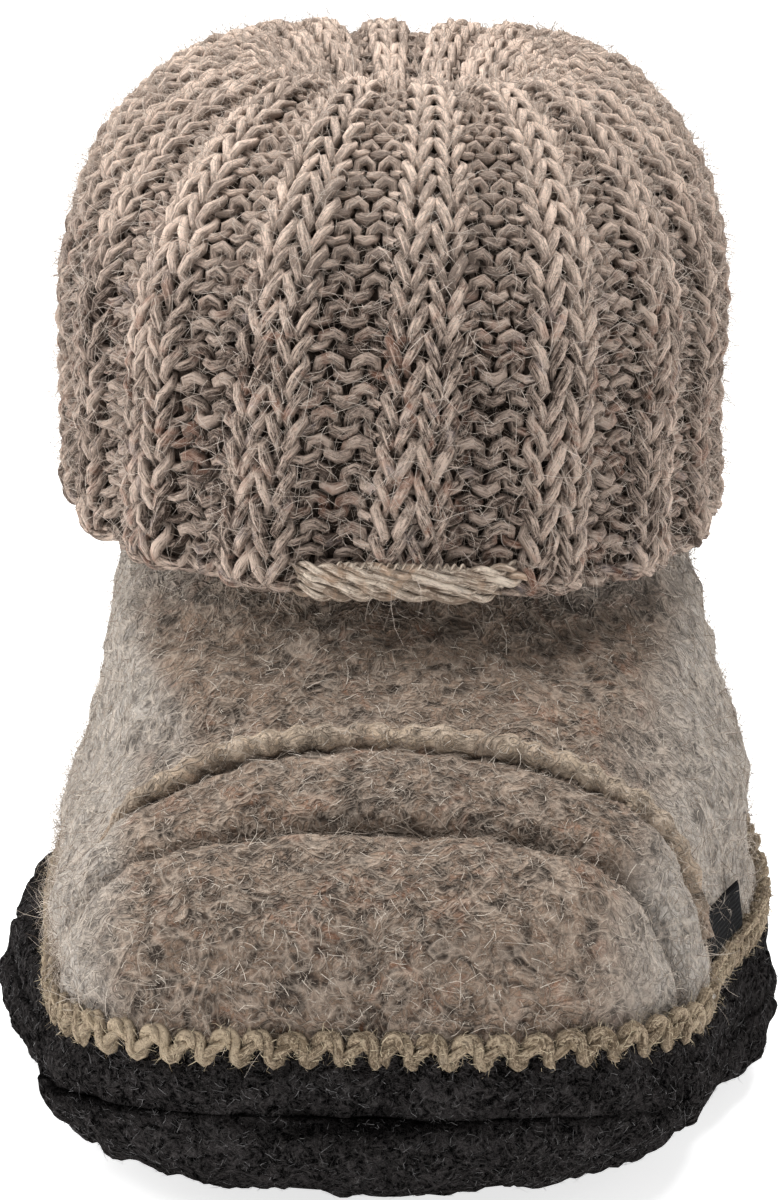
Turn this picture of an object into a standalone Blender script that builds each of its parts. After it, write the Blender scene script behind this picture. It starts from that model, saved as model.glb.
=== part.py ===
"""Left bootie slipper of felted wool with a turned-down rib-knit cuff.

Units are metres and +Z is up. The toe points to -Y and the outer side of the foot is +X. The origin is on
the floor under the middle of the shoe. Every wall is lofted through closed rings that go once around the
shoe: each ring starts at the toe, runs back along the outer side to the heel and forward on the inner side.
"""

import math
from collections import namedtuple

import bmesh
import bpy
import numpy as np

MM = 0.001

# Driving dimensions of the shoe.
LENGTH = 170 * MM
BALL_WIDTH = 80 * MM
INSTEP_HEIGHT = 63 * MM
HEEL_HEIGHT = 72 * MM
CUFF_HEIGHT = 97.5 * MM

# Thickness of each felt, knit and yarn layer, and the gap kept between pieces.
GAP = 0.3 * MM
OUTSOLE_EDGE = 9.6 * MM
OUTSOLE_BEVEL = 1.2 * MM
RAND_WALL = 5 * MM
FELT_WALL = 3 * MM
INSOLE_INSET = 0.7 * MM
INSOLE_THICKNESS = 3 * MM
KNIT_WALL = 3.6 * MM
STITCH_THICKNESS = 1.2 * MM
TAB_THICKNESS = 0.8 * MM

# Toe spring, the inward swing of the toe, how far the sides draw in behind the toe and at the waist, and how
# much of the inner side's drawing in the puffed felt above the seam fills up again.
TOE_SPRING = 2.4 * MM
SPRING_REACH = 0.24
TOE_SWING = 0.5 * MM
BALL_AT = 0.365
TOE_PINCH_OUTER = 0.11
TOE_PINCH_INNER = 0.13
TOE_PINCH_AT = 0.18
TOE_PINCH_SPAN = 0.085
TOE_FULL = 0.85
TOE_FULL_AT = 21 * MM
TOE_FULL_SPAN = 9 * MM
WAIST_PINCH_OUTER = 0.07
WAIST_PINCH_INNER = 0.11
WAIST_PINCH_AT = 0.61
WAIST_PINCH_SPAN = 0.16

# A ring's columns. front, back and widest are percent of LENGTH from the toe tip, outer and inner are percent
# of half BALL_WIDTH, nose, outer_nose and heel are superellipse exponents of the toe's inner and outer corner
# and of the heel, toe_z is percent of INSTEP_HEIGHT, heel_z of HEEL_HEIGHT and side_z of their mean. A cuff
# ring has all three heights in percent of CUFF_HEIGHT.
Ring = namedtuple("Ring", "name front back widest outer inner nose outer_nose heel toe_z side_z heel_z")

SOLE_RINGS = (
    Ring("tread", 5.2, 95.9, 34.6, 88, 87, 2.3, 1.95, 2.5, 0, 0, 0),
    Ring("roll", 1.5, 98.8, 34.6, 96.5, 95.5, 2.45, 2.1, 2.6, 3.2, 3.3, 3.1),
    Ring("bulge", 0, 100, 34.6, 100, 100, 2.95, 2.4, 2.6, 8.9, 8.9, 8.3),
    Ring("shoulder", 0.7, 99.4, 34.6, 98.3, 98.3, 3.6, 2.9, 2.6, 14.3, 14.2, 13.3),
)
WALL_RINGS = (
    Ring("rand foot", 0.9, 99.3, 34.6, 97.6, 97, 3.7, 2.95, 2.6, 15, 15, 14),
    Ring("rand", 0.8, 99.3, 34.6, 97.5, 95, 4, 3, 2.6, 20, 20, 18.8),
    Ring("seam", 1.5, 98.8, 34.6, 95, 84.8, 5, 3, 2.6, 25.7, 25.9, 25),
    Ring("toe box", 2.1, 98.5, 36, 92, 86, 4.6, 2.85, 2.5, 34.1, 36.3, 38.9),
    Ring("toe cap", 5.3, 97.1, 38.8, 91, 79.5, 4.2, 2.7, 2.5, 46, 46.7, 52.8),
    Ring("tuck", 11.2, 95.3, 43.5, 84.5, 75.5, 3, 2.65, 2.4, 54.9, 57, 63.9),
    Ring("ridge", 17.9, 93.8, 50, 81, 75.5, 2.7, 2.4, 2.4, 65.1, 67.4, 74.3),
    Ring("instep", 24.7, 92.5, 57, 76.5, 75, 2.35, 2.15, 2.3, 73.8, 77, 83.3),
    Ring("throat", 30, 91.5, 60, 74.5, 73.5, 2.3, 2.2, 2.3, 86.5, 86.7, 91.7),
    Ring("collar", 33.5, 90.5, 62.4, 73, 72, 2.4, 2.4, 2.3, 100, 97.8, 100),
)
CUFF_RINGS = (
    Ring("hem", 24.8, 98, 59.5, 86, 89.5, 2.3, 2.45, 2.4, 54, 52.2, 51),
    Ring("lower", 24.8, 98.3, 59.5, 84.8, 89.8, 2.35, 2.45, 2.4, 60.1, 58, 57.5),
    Ring("middle", 26.6, 97.6, 59.5, 84.5, 90.3, 2.5, 2.5, 2.4, 70, 66.5, 67.2),
    Ring("upper", 29.6, 95.4, 60, 85.3, 90.3, 2.6, 2.6, 2.4, 81, 77, 77.5),
    Ring("shoulder", 34.4, 91.5, 61.5, 77.5, 82, 2.5, 2.5, 2.4, 91.6, 87, 86.2),
    Ring("crown", 41, 85.5, 62, 60.3, 63.3, 2.4, 2.4, 2.3, 98.8, 94.8, 92.6),
    Ring("lip", 47.4, 79.3, 62.3, 40, 41.5, 2.2, 2.2, 2.2, 100, 97.6, 95.3),
    Ring("throat", 51, 69.3, 60, 26.5, 27, 2.2, 2.2, 2.2, 93.6, 92.5, 91.6),
    Ring("inside", 50, 70.3, 60.2, 29, 29, 2.2, 2.2, 2.2, 80.5, 80.5, 80.5),
    Ring("root", 36, 88.2, 62.4, 60, 59, 2.4, 2.4, 2.3, 66, 69.3, 75.6),
)
WALL_NAMES = [ring.name for ring in WALL_RINGS]
SEAM = WALL_NAMES.index("seam")
RIDGE = WALL_NAMES.index("ridge")
COLLAR = WALL_NAMES.index("collar")

# Points around each ring, and the cuff's ribs: two raised points and two sunk ones for each rib, and how far
# the first point lies from the middle of the toe, in points.
AROUND = 72
DENSE = 720
RIBS = 20
RIB_PROFILE = (1, 1, -1, -1)
RIB_DEPTH = 1.8 * MM
RIB_SHIFT = 0.13

# Rows of the outsole, of the rand, of the upper's outside and inside and of the cuff, counted in rings.
OUTSOLE_ROWS = (0, 0.5, 1, 1.5, 2, 2.5, 3)
RAND_ROWS = (0.5, 1, 1.3, 1.6, 1.8)
UPPER_OUTSIDE = (0, 0.4, 1, 1.5, 2, 2.5, 3, 3.5, 4, 4.5, 5, 6, 7)
UPPER_INSIDE = (7, 6, 5, 4, 3, 2, 1, 0)
CUFF_FACE = (0, 0.5, 1, 1.5, 2, 2.5, 3, 3.5, 4, 4.5, 5, 5.5, 6, 6.5, 7, 7.5, 8, 9)
CUFF_BACKING = (9, 8, 7.5, 6.5, 6, 5, 4, 3, 1.6, 0)

# The toe seam: where its ridge and the tuck in front of it cross the toe, in percent of LENGTH, at the sole
# joint on the outer and inner side and on top, and the height of the strip from the tuck to the ridge.
RIDGE_AT_OUTER = 13.3
RIDGE_AT_INNER = 16
RIDGE_ON_TOP = 18.1
TUCK_AT_OUTER = 8.1
TUCK_AT_INNER = 9
TUCK_ON_TOP = 11.9
TOE_STATIONS = 30
TOE_REACH = 0.16
TOE_SAMPLES = 60
Strip = namedtuple("Strip", "across height")
TOE_STRIP = (
    Strip(0, 0.7), Strip(0.12, 1.2), Strip(0.45, 1.1), Strip(0.72, 0.9),
    Strip(0.82, 2.0), Strip(0.92, 2.1), Strip(1, 1.0),
)

# The cream stitching over the joint of rand and upper, and the plain side tab.
STITCHES = 88
STITCH_BELOW = 2.4 * MM
STITCH_ABOVE = 1.9 * MM
STITCH_SCALLOP = 0.4 * MM
TAB_FROM = 17.2
TAB_TO = 25.5
TAB_FOOT = 2.5 * MM
TAB_HEAD = 6.9 * MM
TAB_STEPS = 6
TAB_ROWS = 4

# Steps of the numeric work: across a surface for its normal, along a wall in rings, and halvings of a search.
NORMAL_TURN = 0.004
NORMAL_ROW = 0.02
WALK_STEP = 0.05
WALK_COUNT = 60
HALVINGS = 40
SHARP_ANGLE = 50

# Linear colour and roughness of each cloth.
Finish = namedtuple("Finish", "color roughness")
SOLE_FELT = Finish((0.03, 0.03, 0.032), 0.95)
RAND_FELT = Finish((0.035, 0.035, 0.037), 0.95)
INSOLE_FELT = Finish((0.2, 0.18, 0.15), 0.95)
UPPER_FELT = Finish((0.24, 0.19, 0.145), 0.95)
TOE_FELT = Finish((0.36, 0.27, 0.19), 0.95)
CREAM_YARN = Finish((0.5, 0.4, 0.24), 0.9)
BLACK_TAPE = Finish((0.01, 0.01, 0.01), 0.8)
RIB_KNIT = Finish((0.3, 0.235, 0.185), 0.9)


def bell(value, middle, span):
    """Return a smooth bump that is 1 at the middle and falls to nothing over the span."""
    return np.exp(-((value - middle) / span) ** 2)


def spring(y):
    """Return how far the toe spring lifts a point at y."""
    share = (y / LENGTH + 0.5) / SPRING_REACH
    return TOE_SPRING * np.clip(1 - share, 0, None) ** 2


def shape_sides(x, y, z):
    """Draw the sides in behind the toe and at the waist, and swing the toe inward."""
    at = y / LENGTH + 0.5
    inner_pinch = TOE_PINCH_INNER * (1 - TOE_FULL * bell(z, TOE_FULL_AT, TOE_FULL_SPAN))
    toe_pinch = np.where(x > 0, TOE_PINCH_OUTER, inner_pinch)
    waist_pinch = np.where(x > 0, WAIST_PINCH_OUTER, WAIST_PINCH_INNER)
    toe = toe_pinch * bell(at, TOE_PINCH_AT, TOE_PINCH_SPAN)
    waist = waist_pinch * bell(at, WAIST_PINCH_AT, WAIST_PINCH_SPAN)
    swing = TOE_SWING * np.clip(1 - at / BALL_AT, 0, None) ** 2
    return x * (1 - toe - waist) - swing


def half_ring(ring, nose, width, heights):
    """Return the dense half of a ring from toe to heel, before the sides are shaped."""
    turn = np.linspace(0, math.pi, DENSE)
    forward = np.cos(turn) >= 0
    power = 2 / np.where(forward, nose, ring.heel)
    reach = np.where(forward, ring.front - ring.widest, ring.back - ring.widest) / 100
    x = width * np.abs(np.sin(turn)) ** power
    y = LENGTH * (ring.widest / 100 - 0.5 + reach * np.abs(np.cos(turn)) ** power)
    toe_z, side_z, heel_z = heights
    end_z = np.where(forward, toe_z, heel_z)
    z = side_z + (end_z - side_z) * np.cos(turn) ** 2
    return np.stack([x, y, z], axis=1)


def evenly(points, count):
    """Resample an open run of points at even steps along its length."""
    steps = np.linalg.norm(np.diff(points, axis=0), axis=1)
    along = np.concatenate([[0], np.cumsum(steps)])
    at = np.linspace(0, along[-1], count)
    return np.stack([np.interp(at, along, points[:, axis]) for axis in range(3)], axis=1)


def full_ring(ring, heights, shaped):
    """Return a closed dense ring: the outer half from toe to heel, then the inner half back to the toe."""
    halves = []
    for side, percent, nose in ((1, ring.outer, ring.outer_nose), (-1, ring.inner, ring.nose)):
        half = half_ring(ring, nose, percent / 100 * BALL_WIDTH / 2, heights)
        half[:, 0] *= side
        if shaped:
            half[:, 0] = shape_sides(*half.T)
            half[:, 2] += spring(half[:, 1])
        halves.append(evenly(half, DENSE // 2 + 1))
    return np.concatenate([halves[0][:-1], halves[1][:0:-1]])


def body_heights(ring):
    """Return a felt ring's heights at the toe, side and heel."""
    side = (INSTEP_HEIGHT + HEEL_HEIGHT) / 2
    return ring.toe_z / 100 * INSTEP_HEIGHT, ring.side_z / 100 * side, ring.heel_z / 100 * HEEL_HEIGHT


def cuff_heights(ring):
    """Return a cuff ring's heights at the front, side and back."""
    return tuple(height / 100 * CUFF_HEIGHT for height in (ring.toe_z, ring.side_z, ring.heel_z))


class Loft:
    """A smooth surface through closed rings: u is the turn from the toe, v counts the rings upward."""

    def __init__(self, rings, heights, shaped):
        """Work out the dense rings."""
        self.rings = np.stack([full_ring(ring, heights(ring), shaped) for ring in rings])

    def point(self, u, v):
        """Return the surface points at turns u and rows v, which are arrays of one shape."""
        u = np.asarray(u, dtype=float) % 1 * DENSE
        v = np.clip(np.asarray(v, dtype=float), 0, len(self.rings) - 1)
        first = np.floor(u).astype(int)
        share = (u - first)[..., None]
        row = np.minimum(np.floor(v).astype(int), len(self.rings) - 2)
        t = (v - row)[..., None]
        last = len(self.rings) - 1
        a, b, c, d = (
            self.rings[np.clip(row + step, 0, last), first % DENSE] * (1 - share)
            + self.rings[np.clip(row + step, 0, last), (first + 1) % DENSE] * share
            for step in (-1, 0, 1, 2)
        )
        return b + 0.5 * t * (c - a + t * (2 * a - 5 * b + 4 * c - d + t * (3 * (b - c) + d - a)))

    def normal(self, u, v):
        """Return the surface's unit normals, pointing away from the foot side of the loft."""
        along = self.point(u + NORMAL_TURN, v) - self.point(u - NORMAL_TURN, v)
        up = self.point(u, v + NORMAL_ROW) - self.point(u, v - NORMAL_ROW)
        cross = np.cross(along, up)
        return cross / np.linalg.norm(cross, axis=-1, keepdims=True)

    def shifted(self, u, v, away):
        """Return surface points moved along the normal."""
        u, v = np.broadcast_arrays(np.asarray(u, dtype=float), np.asarray(v, dtype=float))
        return self.point(u, v) + self.normal(u, v) * np.asarray(away)[..., None]

    def row_at_height(self, u, row, rise):
        """Return the rows that lie a given rise along the wall above, or below, a row."""
        step = math.copysign(WALK_STEP, rise)
        v = np.full(np.shape(u), float(row))
        left = np.full(np.shape(u), abs(rise))
        for _ in range(WALK_COUNT):
            length = np.linalg.norm(self.point(u, v + step) - self.point(u, v), axis=-1)
            share = np.clip(left / np.maximum(length, 1e-9), 0, 1)
            v = v + step * share
            left = left - length * share
        return v


def add_object(name, points, faces, finish):
    """Make a mesh object with its own material.

    Args:
        name: The object's name.
        points: The vertices in metres.
        faces: Vertex indices of each face.
        finish: The cloth's linear colour and roughness.

    Returns:
        The new object.
    """
    mesh = bpy.data.meshes.new(name)
    mesh.from_pydata([tuple(map(float, point)) for point in points], [], faces)
    work = bmesh.new()
    work.from_mesh(mesh)
    bmesh.ops.recalc_face_normals(work, faces=work.faces)
    bmesh.ops.triangulate(work, faces=work.faces)
    work.to_mesh(mesh)
    work.free()
    mesh.shade_smooth()
    mesh.set_sharp_from_angle(angle=math.radians(SHARP_ANGLE))
    material = bpy.data.materials.new(name)
    material.use_nodes = True
    shader = material.node_tree.nodes["Principled BSDF"]
    shader.inputs["Base Color"].default_value = (*finish.color, 1)
    shader.inputs["Roughness"].default_value = finish.roughness
    shader.inputs["Metallic"].default_value = 0
    mesh.materials.append(material)
    item = bpy.data.objects.new(name, mesh)
    bpy.context.scene.collection.objects.link(item)
    return item


def skin(rows, closed):
    """Return the quads between rings of one size, and back to the first ring where closed is set."""
    count = len(rows[0])
    faces = []
    for low in range(len(rows) if closed else len(rows) - 1):
        high = (low + 1) % len(rows)
        for i in range(count):
            j = (i + 1) % count
            faces.append((low * count + i, low * count + j, high * count + j, high * count + i))
    return faces


def ladder(first, count):
    """Return the faces of a cap over a ring, in strips that run across the shoe."""
    half = count // 2
    faces = [(first, first + 1, first + count - 1)]
    for i in range(1, half - 1):
        faces.append((first + i, first + i + 1, first + count - i - 1, first + count - i))
    faces.append((first + half - 1, first + half, first + half + 1))
    return faces


def ring_solid(name, rows, finish):
    """Make a solid that goes around the shoe and closes on itself."""
    return add_object(name, np.concatenate(rows), skin(rows, True), finish)


def slab_solid(name, rows, finish):
    """Make a solid from stacked rings, with a cap under the first and over the last."""
    count = len(rows[0])
    faces = skin(rows, False) + ladder(0, count) + ladder((len(rows) - 1) * count, count)
    return add_object(name, np.concatenate(rows), faces, finish)


def plate_solid(name, top, bottom, finish):
    """Make a thin plate from two grids of points of one shape."""
    long, wide = top.shape[:2]
    size = long * wide
    at = np.arange(2 * size).reshape(2, long, wide)
    faces = []
    for i in range(long - 1):
        for j in range(wide - 1):
            for side in (0, 1):
                faces.append((at[side, i, j], at[side, i + 1, j], at[side, i + 1, j + 1], at[side, i, j + 1]))
    rim = [*at[0, :-1, 0], *at[0, -1, :-1], *at[0, :0:-1, -1], *at[0, 0, :0:-1]]
    for here, there in zip(rim, rim[1:] + rim[:1]):
        faces.append((here, there, there + size, here + size))
    faces = [tuple(int(index) for index in face) for face in faces]
    return add_object(name, np.concatenate([top.reshape(-1, 3), bottom.reshape(-1, 3)]), faces, finish)


def lifted(ring, z):
    """Return a ring laid level at height z, following the toe spring."""
    level = ring.copy()
    level[:, 2] = z + spring(level[:, 1])
    return level


def drawn_in(ring, distance):
    """Return a ring moved toward the inside of the shoe in plan."""
    along = np.roll(ring, -1, axis=0) - np.roll(ring, 1, axis=0)
    away = np.stack([along[:, 1], -along[:, 0], np.zeros(len(ring))], axis=1)
    return ring - away / np.linalg.norm(away, axis=1, keepdims=True) * distance


def make_outsole(sole, turns):
    """Make the felt outsole: a flat tread, a rolled edge and a flat top."""
    rows = [sole.point(turns, np.full(len(turns), row)) for row in OUTSOLE_ROWS]
    rows.append(lifted(drawn_in(rows[-1], OUTSOLE_BEVEL), OUTSOLE_EDGE))
    rows.append(lifted(drawn_in(rows[-1], RAND_WALL), OUTSOLE_EDGE))
    return slab_solid("outsole", rows, SOLE_FELT)


def make_insole(wall, turns):
    """Make the insole, which lies on the outsole inside the rand."""
    outline = drawn_in(wall.point(turns, np.zeros(len(turns))), RAND_WALL + INSOLE_INSET)
    low = OUTSOLE_EDGE + GAP
    rows = [lifted(outline, low), lifted(outline, low + INSOLE_THICKNESS)]
    return slab_solid("insole", rows, INSOLE_FELT)


def make_rand(wall, turns):
    """Make the felt rand that stands on the outsole and meets the upper at the seam."""
    full = np.full(len(turns), 1.0)
    foot = lifted(wall.point(turns, 0 * full), OUTSOLE_EDGE + GAP)
    outside = [wall.point(turns, row * full) for row in RAND_ROWS]
    top = wall.row_at_height(turns, SEAM, -GAP / 2)
    edge = wall.point(turns, top)
    inner_edge = wall.shifted(turns, top, -RAND_WALL * full)
    inside = drawn_in(wall.point(turns, full), RAND_WALL)
    inner_foot = lifted(drawn_in(wall.point(turns, 0 * full), RAND_WALL), OUTSOLE_EDGE + GAP)
    rows = [foot, *outside, edge, inner_edge, inside, inner_foot]
    return ring_solid("rand", rows, RAND_FELT)


def make_upper(wall, turns):
    """Make the felt upper as one hollow wall, open at the collar and underneath."""
    full = np.full(len(turns), 1.0)
    foot = wall.row_at_height(turns, SEAM, GAP / 2)
    outside = [wall.point(turns, np.maximum(SEAM + row, foot)) for row in UPPER_OUTSIDE]
    inside = [wall.shifted(turns, np.maximum(SEAM + row, foot), -FELT_WALL * full) for row in UPPER_INSIDE]
    return ring_solid("upper", outside + inside, UPPER_FELT)


def toe_line(wall, at_outer, at_inner, on_top):
    """Return turns and rows of a line over the toe, from the outer to the inner sole joint."""
    turns = np.linspace(TOE_REACH, -TOE_REACH, 2 * TOE_SAMPLES + 1)
    low = wall.row_at_height(turns, SEAM, STITCH_ABOVE + STITCH_SCALLOP + GAP)
    high = np.full(len(turns), float(COLLAR))
    at_side = np.where(turns > 0, at_outer, at_inner)

    def behind(rows):
        """Tell where the surface has passed the line's plane."""
        point = wall.point(turns, rows)
        rise = point[:, 2] / INSTEP_HEIGHT / (WALL_RINGS[RIDGE].toe_z / 100)
        plane = (at_side + (on_top - at_side) * rise) / 100
        return point[:, 1] / LENGTH + 0.5 > plane

    keep = ~behind(low)
    for _ in range(HALVINGS):
        middle = (low + high) / 2
        past = behind(middle)
        high = np.where(past, middle, high)
        low = np.where(past, low, middle)
    turns, rows = turns[keep], low[keep]
    points = wall.point(turns, rows)
    steps = np.linalg.norm(np.diff(points, axis=0), axis=1)
    along = np.concatenate([[0], np.cumsum(steps)])
    at = np.linspace(0, along[-1], TOE_STATIONS)
    return np.interp(at, along, turns), np.interp(at, along, rows)


def make_toe_seam(wall):
    """Make the raised strip over the toe: a tuck at its front edge and a ridge at its back edge."""
    tuck = toe_line(wall, TUCK_AT_OUTER, TUCK_AT_INNER, TUCK_ON_TOP)
    ridge = toe_line(wall, RIDGE_AT_OUTER, RIDGE_AT_INNER, RIDGE_ON_TOP)
    across = np.array([strip.across for strip in TOE_STRIP])
    height = np.array([strip.height for strip in TOE_STRIP]) * MM
    turns = tuck[0][:, None] * (1 - across) + ridge[0][:, None] * across
    rows = tuck[1][:, None] * (1 - across) + ridge[1][:, None] * across
    top = wall.shifted(turns, rows, GAP + np.broadcast_to(height, turns.shape))
    bottom = wall.shifted(turns, rows, np.full(turns.shape, GAP))
    return plate_solid("toe_seam", top, bottom, TOE_FELT)


def make_stitching(wall):
    """Make the stitched band over the joint of rand and upper, with a scallop for each stitch."""
    turns = np.arange(2 * STITCHES) / (2 * STITCHES)
    swing = np.where(np.arange(2 * STITCHES) % 2 == 0, STITCH_SCALLOP, -STITCH_SCALLOP)
    low = wall.row_at_height(turns, SEAM, -STITCH_BELOW)
    high = wall.row_at_height(turns, SEAM, STITCH_ABOVE)
    inner = np.full(len(turns), GAP)
    outer = inner + STITCH_THICKNESS
    rise = np.stack([0 * swing, 0 * swing, swing], axis=1)
    rows = [
        wall.shifted(turns, low, inner) + rise,
        wall.shifted(turns, low, outer) + rise,
        wall.shifted(turns, high, outer) + rise,
        wall.shifted(turns, high, inner) + rise,
    ]
    return ring_solid("stitching", rows, CREAM_YARN)


def make_side_tab(wall):
    """Make the plain woven tab that lies on the outer side just above the stitching."""
    ring = wall.point(np.arange(DENSE) / DENSE, np.full(DENSE, float(SEAM)))
    outer_half = slice(0, DENSE // 2)
    at = (ring[outer_half, 1] / LENGTH + 0.5) * 100
    ends = np.interp((TAB_FROM, TAB_TO), at, np.arange(DENSE // 2) / DENSE)
    turns = np.linspace(*ends, TAB_STEPS)
    low = wall.row_at_height(turns, SEAM, TAB_FOOT)
    high = wall.row_at_height(turns, SEAM, TAB_HEAD)
    share = np.linspace(0, 1, TAB_ROWS)
    rows = low[:, None] * (1 - share) + high[:, None] * share
    turns = np.broadcast_to(turns[:, None], rows.shape)
    top = wall.shifted(turns, rows, np.full(rows.shape, GAP + TAB_THICKNESS))
    bottom = wall.shifted(turns, rows, np.full(rows.shape, GAP))
    return plate_solid("side_tab", top, bottom, BLACK_TAPE)


def make_cuff(knit):
    """Make the folded cuff: a hem outside, a rounded fold on top and a root on the felt collar."""
    relief = RIB_DEPTH / 2 * np.tile(RIB_PROFILE, RIBS)
    count = len(relief)
    turns = (np.arange(count) + RIB_SHIFT) / count
    full = np.full(count, 1.0)
    face = [knit.shifted(turns, row * full, relief) for row in CUFF_FACE]
    backing = [knit.shifted(turns, row * full, -KNIT_WALL * full) for row in CUFF_BACKING]
    return ring_solid("cuff", face + backing, RIB_KNIT)


def main():
    """Clear the scene and make every piece of the slipper."""
    for item in list(bpy.data.objects):
        bpy.data.objects.remove(item)
    sole = Loft(SOLE_RINGS, body_heights, True)
    wall = Loft(WALL_RINGS, body_heights, True)
    knit = Loft(CUFF_RINGS, cuff_heights, False)
    turns = np.arange(AROUND) / AROUND
    make_outsole(sole, turns)
    make_rand(wall, turns)
    make_insole(wall, turns)
    make_upper(wall, turns)
    make_toe_seam(wall)
    make_stitching(wall)
    make_side_tab(wall)
    make_cuff(knit)


if __name__ == "__main__":
    main()
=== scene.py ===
"""Looks of a felted bootie slipper: boiled-wool upper, thick felt sole, yarn stitching and a knitted cuff.

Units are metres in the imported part's frame: the toe points to -Y, the outer side to +X, and +Z is up. The
walls are lofted through the same rings as the solids that the pieces here stand for.
"""

from __future__ import annotations

import itertools
import logging
import math
from dataclasses import dataclass, field
from enum import Enum, IntEnum

import bpy
import numpy as np
from mathutils import Matrix, Vector

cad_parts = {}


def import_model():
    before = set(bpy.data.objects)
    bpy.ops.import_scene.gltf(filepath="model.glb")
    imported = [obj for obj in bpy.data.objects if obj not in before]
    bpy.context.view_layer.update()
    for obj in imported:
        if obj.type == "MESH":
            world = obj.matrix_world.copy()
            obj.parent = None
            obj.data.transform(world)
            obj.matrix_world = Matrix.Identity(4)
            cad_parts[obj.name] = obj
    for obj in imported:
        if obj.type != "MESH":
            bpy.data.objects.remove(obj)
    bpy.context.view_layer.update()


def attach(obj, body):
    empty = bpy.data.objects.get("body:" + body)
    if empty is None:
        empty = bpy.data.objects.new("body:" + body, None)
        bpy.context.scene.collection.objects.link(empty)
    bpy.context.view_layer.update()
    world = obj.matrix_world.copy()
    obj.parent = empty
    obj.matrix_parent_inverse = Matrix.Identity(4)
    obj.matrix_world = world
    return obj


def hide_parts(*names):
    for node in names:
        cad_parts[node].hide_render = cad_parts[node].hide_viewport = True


LOG = logging.getLogger("slipper")
MM = 0.001
Color = tuple[float, float, float]
Socket = bpy.types.NodeSocket
Reals = np.ndarray | float
MIDDLE_LINE = 0.82


class Slot(Enum):
    """The record's material slots."""

    SOLE = "sole_felt"
    INSOLE = "insole_felt"
    UPPER = "upper_felt"
    STITCH = "cream_yarn"
    TAB = "tab_tape"
    KNIT = "knit_wool"


class Seed(IntEnum):
    """The seeds of the random lumps; layers count up from theirs."""

    UPPER = 0
    KNOTS = 12
    TAN = 13
    WANDER = 14
    SOLE = 20
    CREASE = 27
    PARTING = 28
    NOTCHES = 29
    INSOLE = 31


def srgb(red: float, green: float, blue: float) -> Color:
    """Return the linear colour of screen values from 0 to 255."""
    shares = np.array([red, green, blue]) / 255
    bent = np.where(shares <= 0.04045, shares / 12.92, ((shares + 0.055) / 1.055) ** 2.4)
    return tuple(float(value) for value in bent)


def scaled(color: Color, share: float) -> Color:
    """Return a colour at a share of its brightness."""
    return tuple(share * part for part in color)


def between(low: Reals, high: Reals, share: Reals) -> Reals:
    """Return low at a share of 0, high at 1 and an even change from one to the other."""
    return low + (high - low) * share


def smooth(value: np.ndarray, low: float, high: float) -> np.ndarray:
    """Return 0 below low, 1 above high and a soft step between them."""
    share = np.clip((value - low) / (high - low), 0, 1)
    return share * share * (3 - 2 * share)


def bell(value: np.ndarray, middle: float, span: float) -> np.ndarray:
    """Return a bump that is 1 at the middle and fades over the span."""
    return np.exp(-(((value - middle) / span) ** 2))


def unit(vectors: np.ndarray) -> np.ndarray:
    """Return vectors at length 1."""
    return vectors / np.maximum(np.linalg.norm(vectors, axis=-1, keepdims=True), 1e-12)


def lumps(points: np.ndarray, size: float, seed: int) -> np.ndarray:
    """Return soft random lumps between -1 and 1.

    Args:
        points: Places in metres, with the coordinates on the last axis.
        size: The distance between lumps.
        seed: The seed of the random table.

    Returns:
        One value for each place.
    """
    grid = 64
    table = np.random.default_rng(seed).uniform(-1, 1, (grid, grid, grid))
    place = points / size
    cell = np.floor(place).astype(int)
    share = place - cell
    share = share * share * (3 - 2 * share)
    total = np.zeros(points.shape[:-1])
    for corner in itertools.product((0, 1), repeat=3):
        weight = np.prod(np.where(corner, share, 1 - share), axis=-1)
        x, y, z = np.moveaxis((cell + corner) % grid, -1, 0)
        total += weight * table[x, y, z]
    return total


def layered_lumps(
    points: np.ndarray, sizes: tuple[float, ...], heights: tuple[float, ...], seed: int
) -> np.ndarray:
    """Return the height of lumps of several sizes laid over each other."""
    layers = zip(sizes, heights)
    return sum(height * lumps(points, size, seed + step) for step, (size, height) in enumerate(layers))


@dataclass(frozen=True)
class Ring:
    """One closed ring of a wall.

    front, back and widest are percent of the length from the toe tip. outer and inner are percent of half
    the ball width. nose, outer_nose and heel are superellipse exponents of the toe's inner and outer corner
    and of the heel. The heights are percent of the wall's own heights.
    """

    name: str
    front: float
    back: float
    widest: float
    outer: float
    inner: float
    nose: float
    outer_nose: float
    heel: float
    toe_z: float
    side_z: float
    heel_z: float


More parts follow.
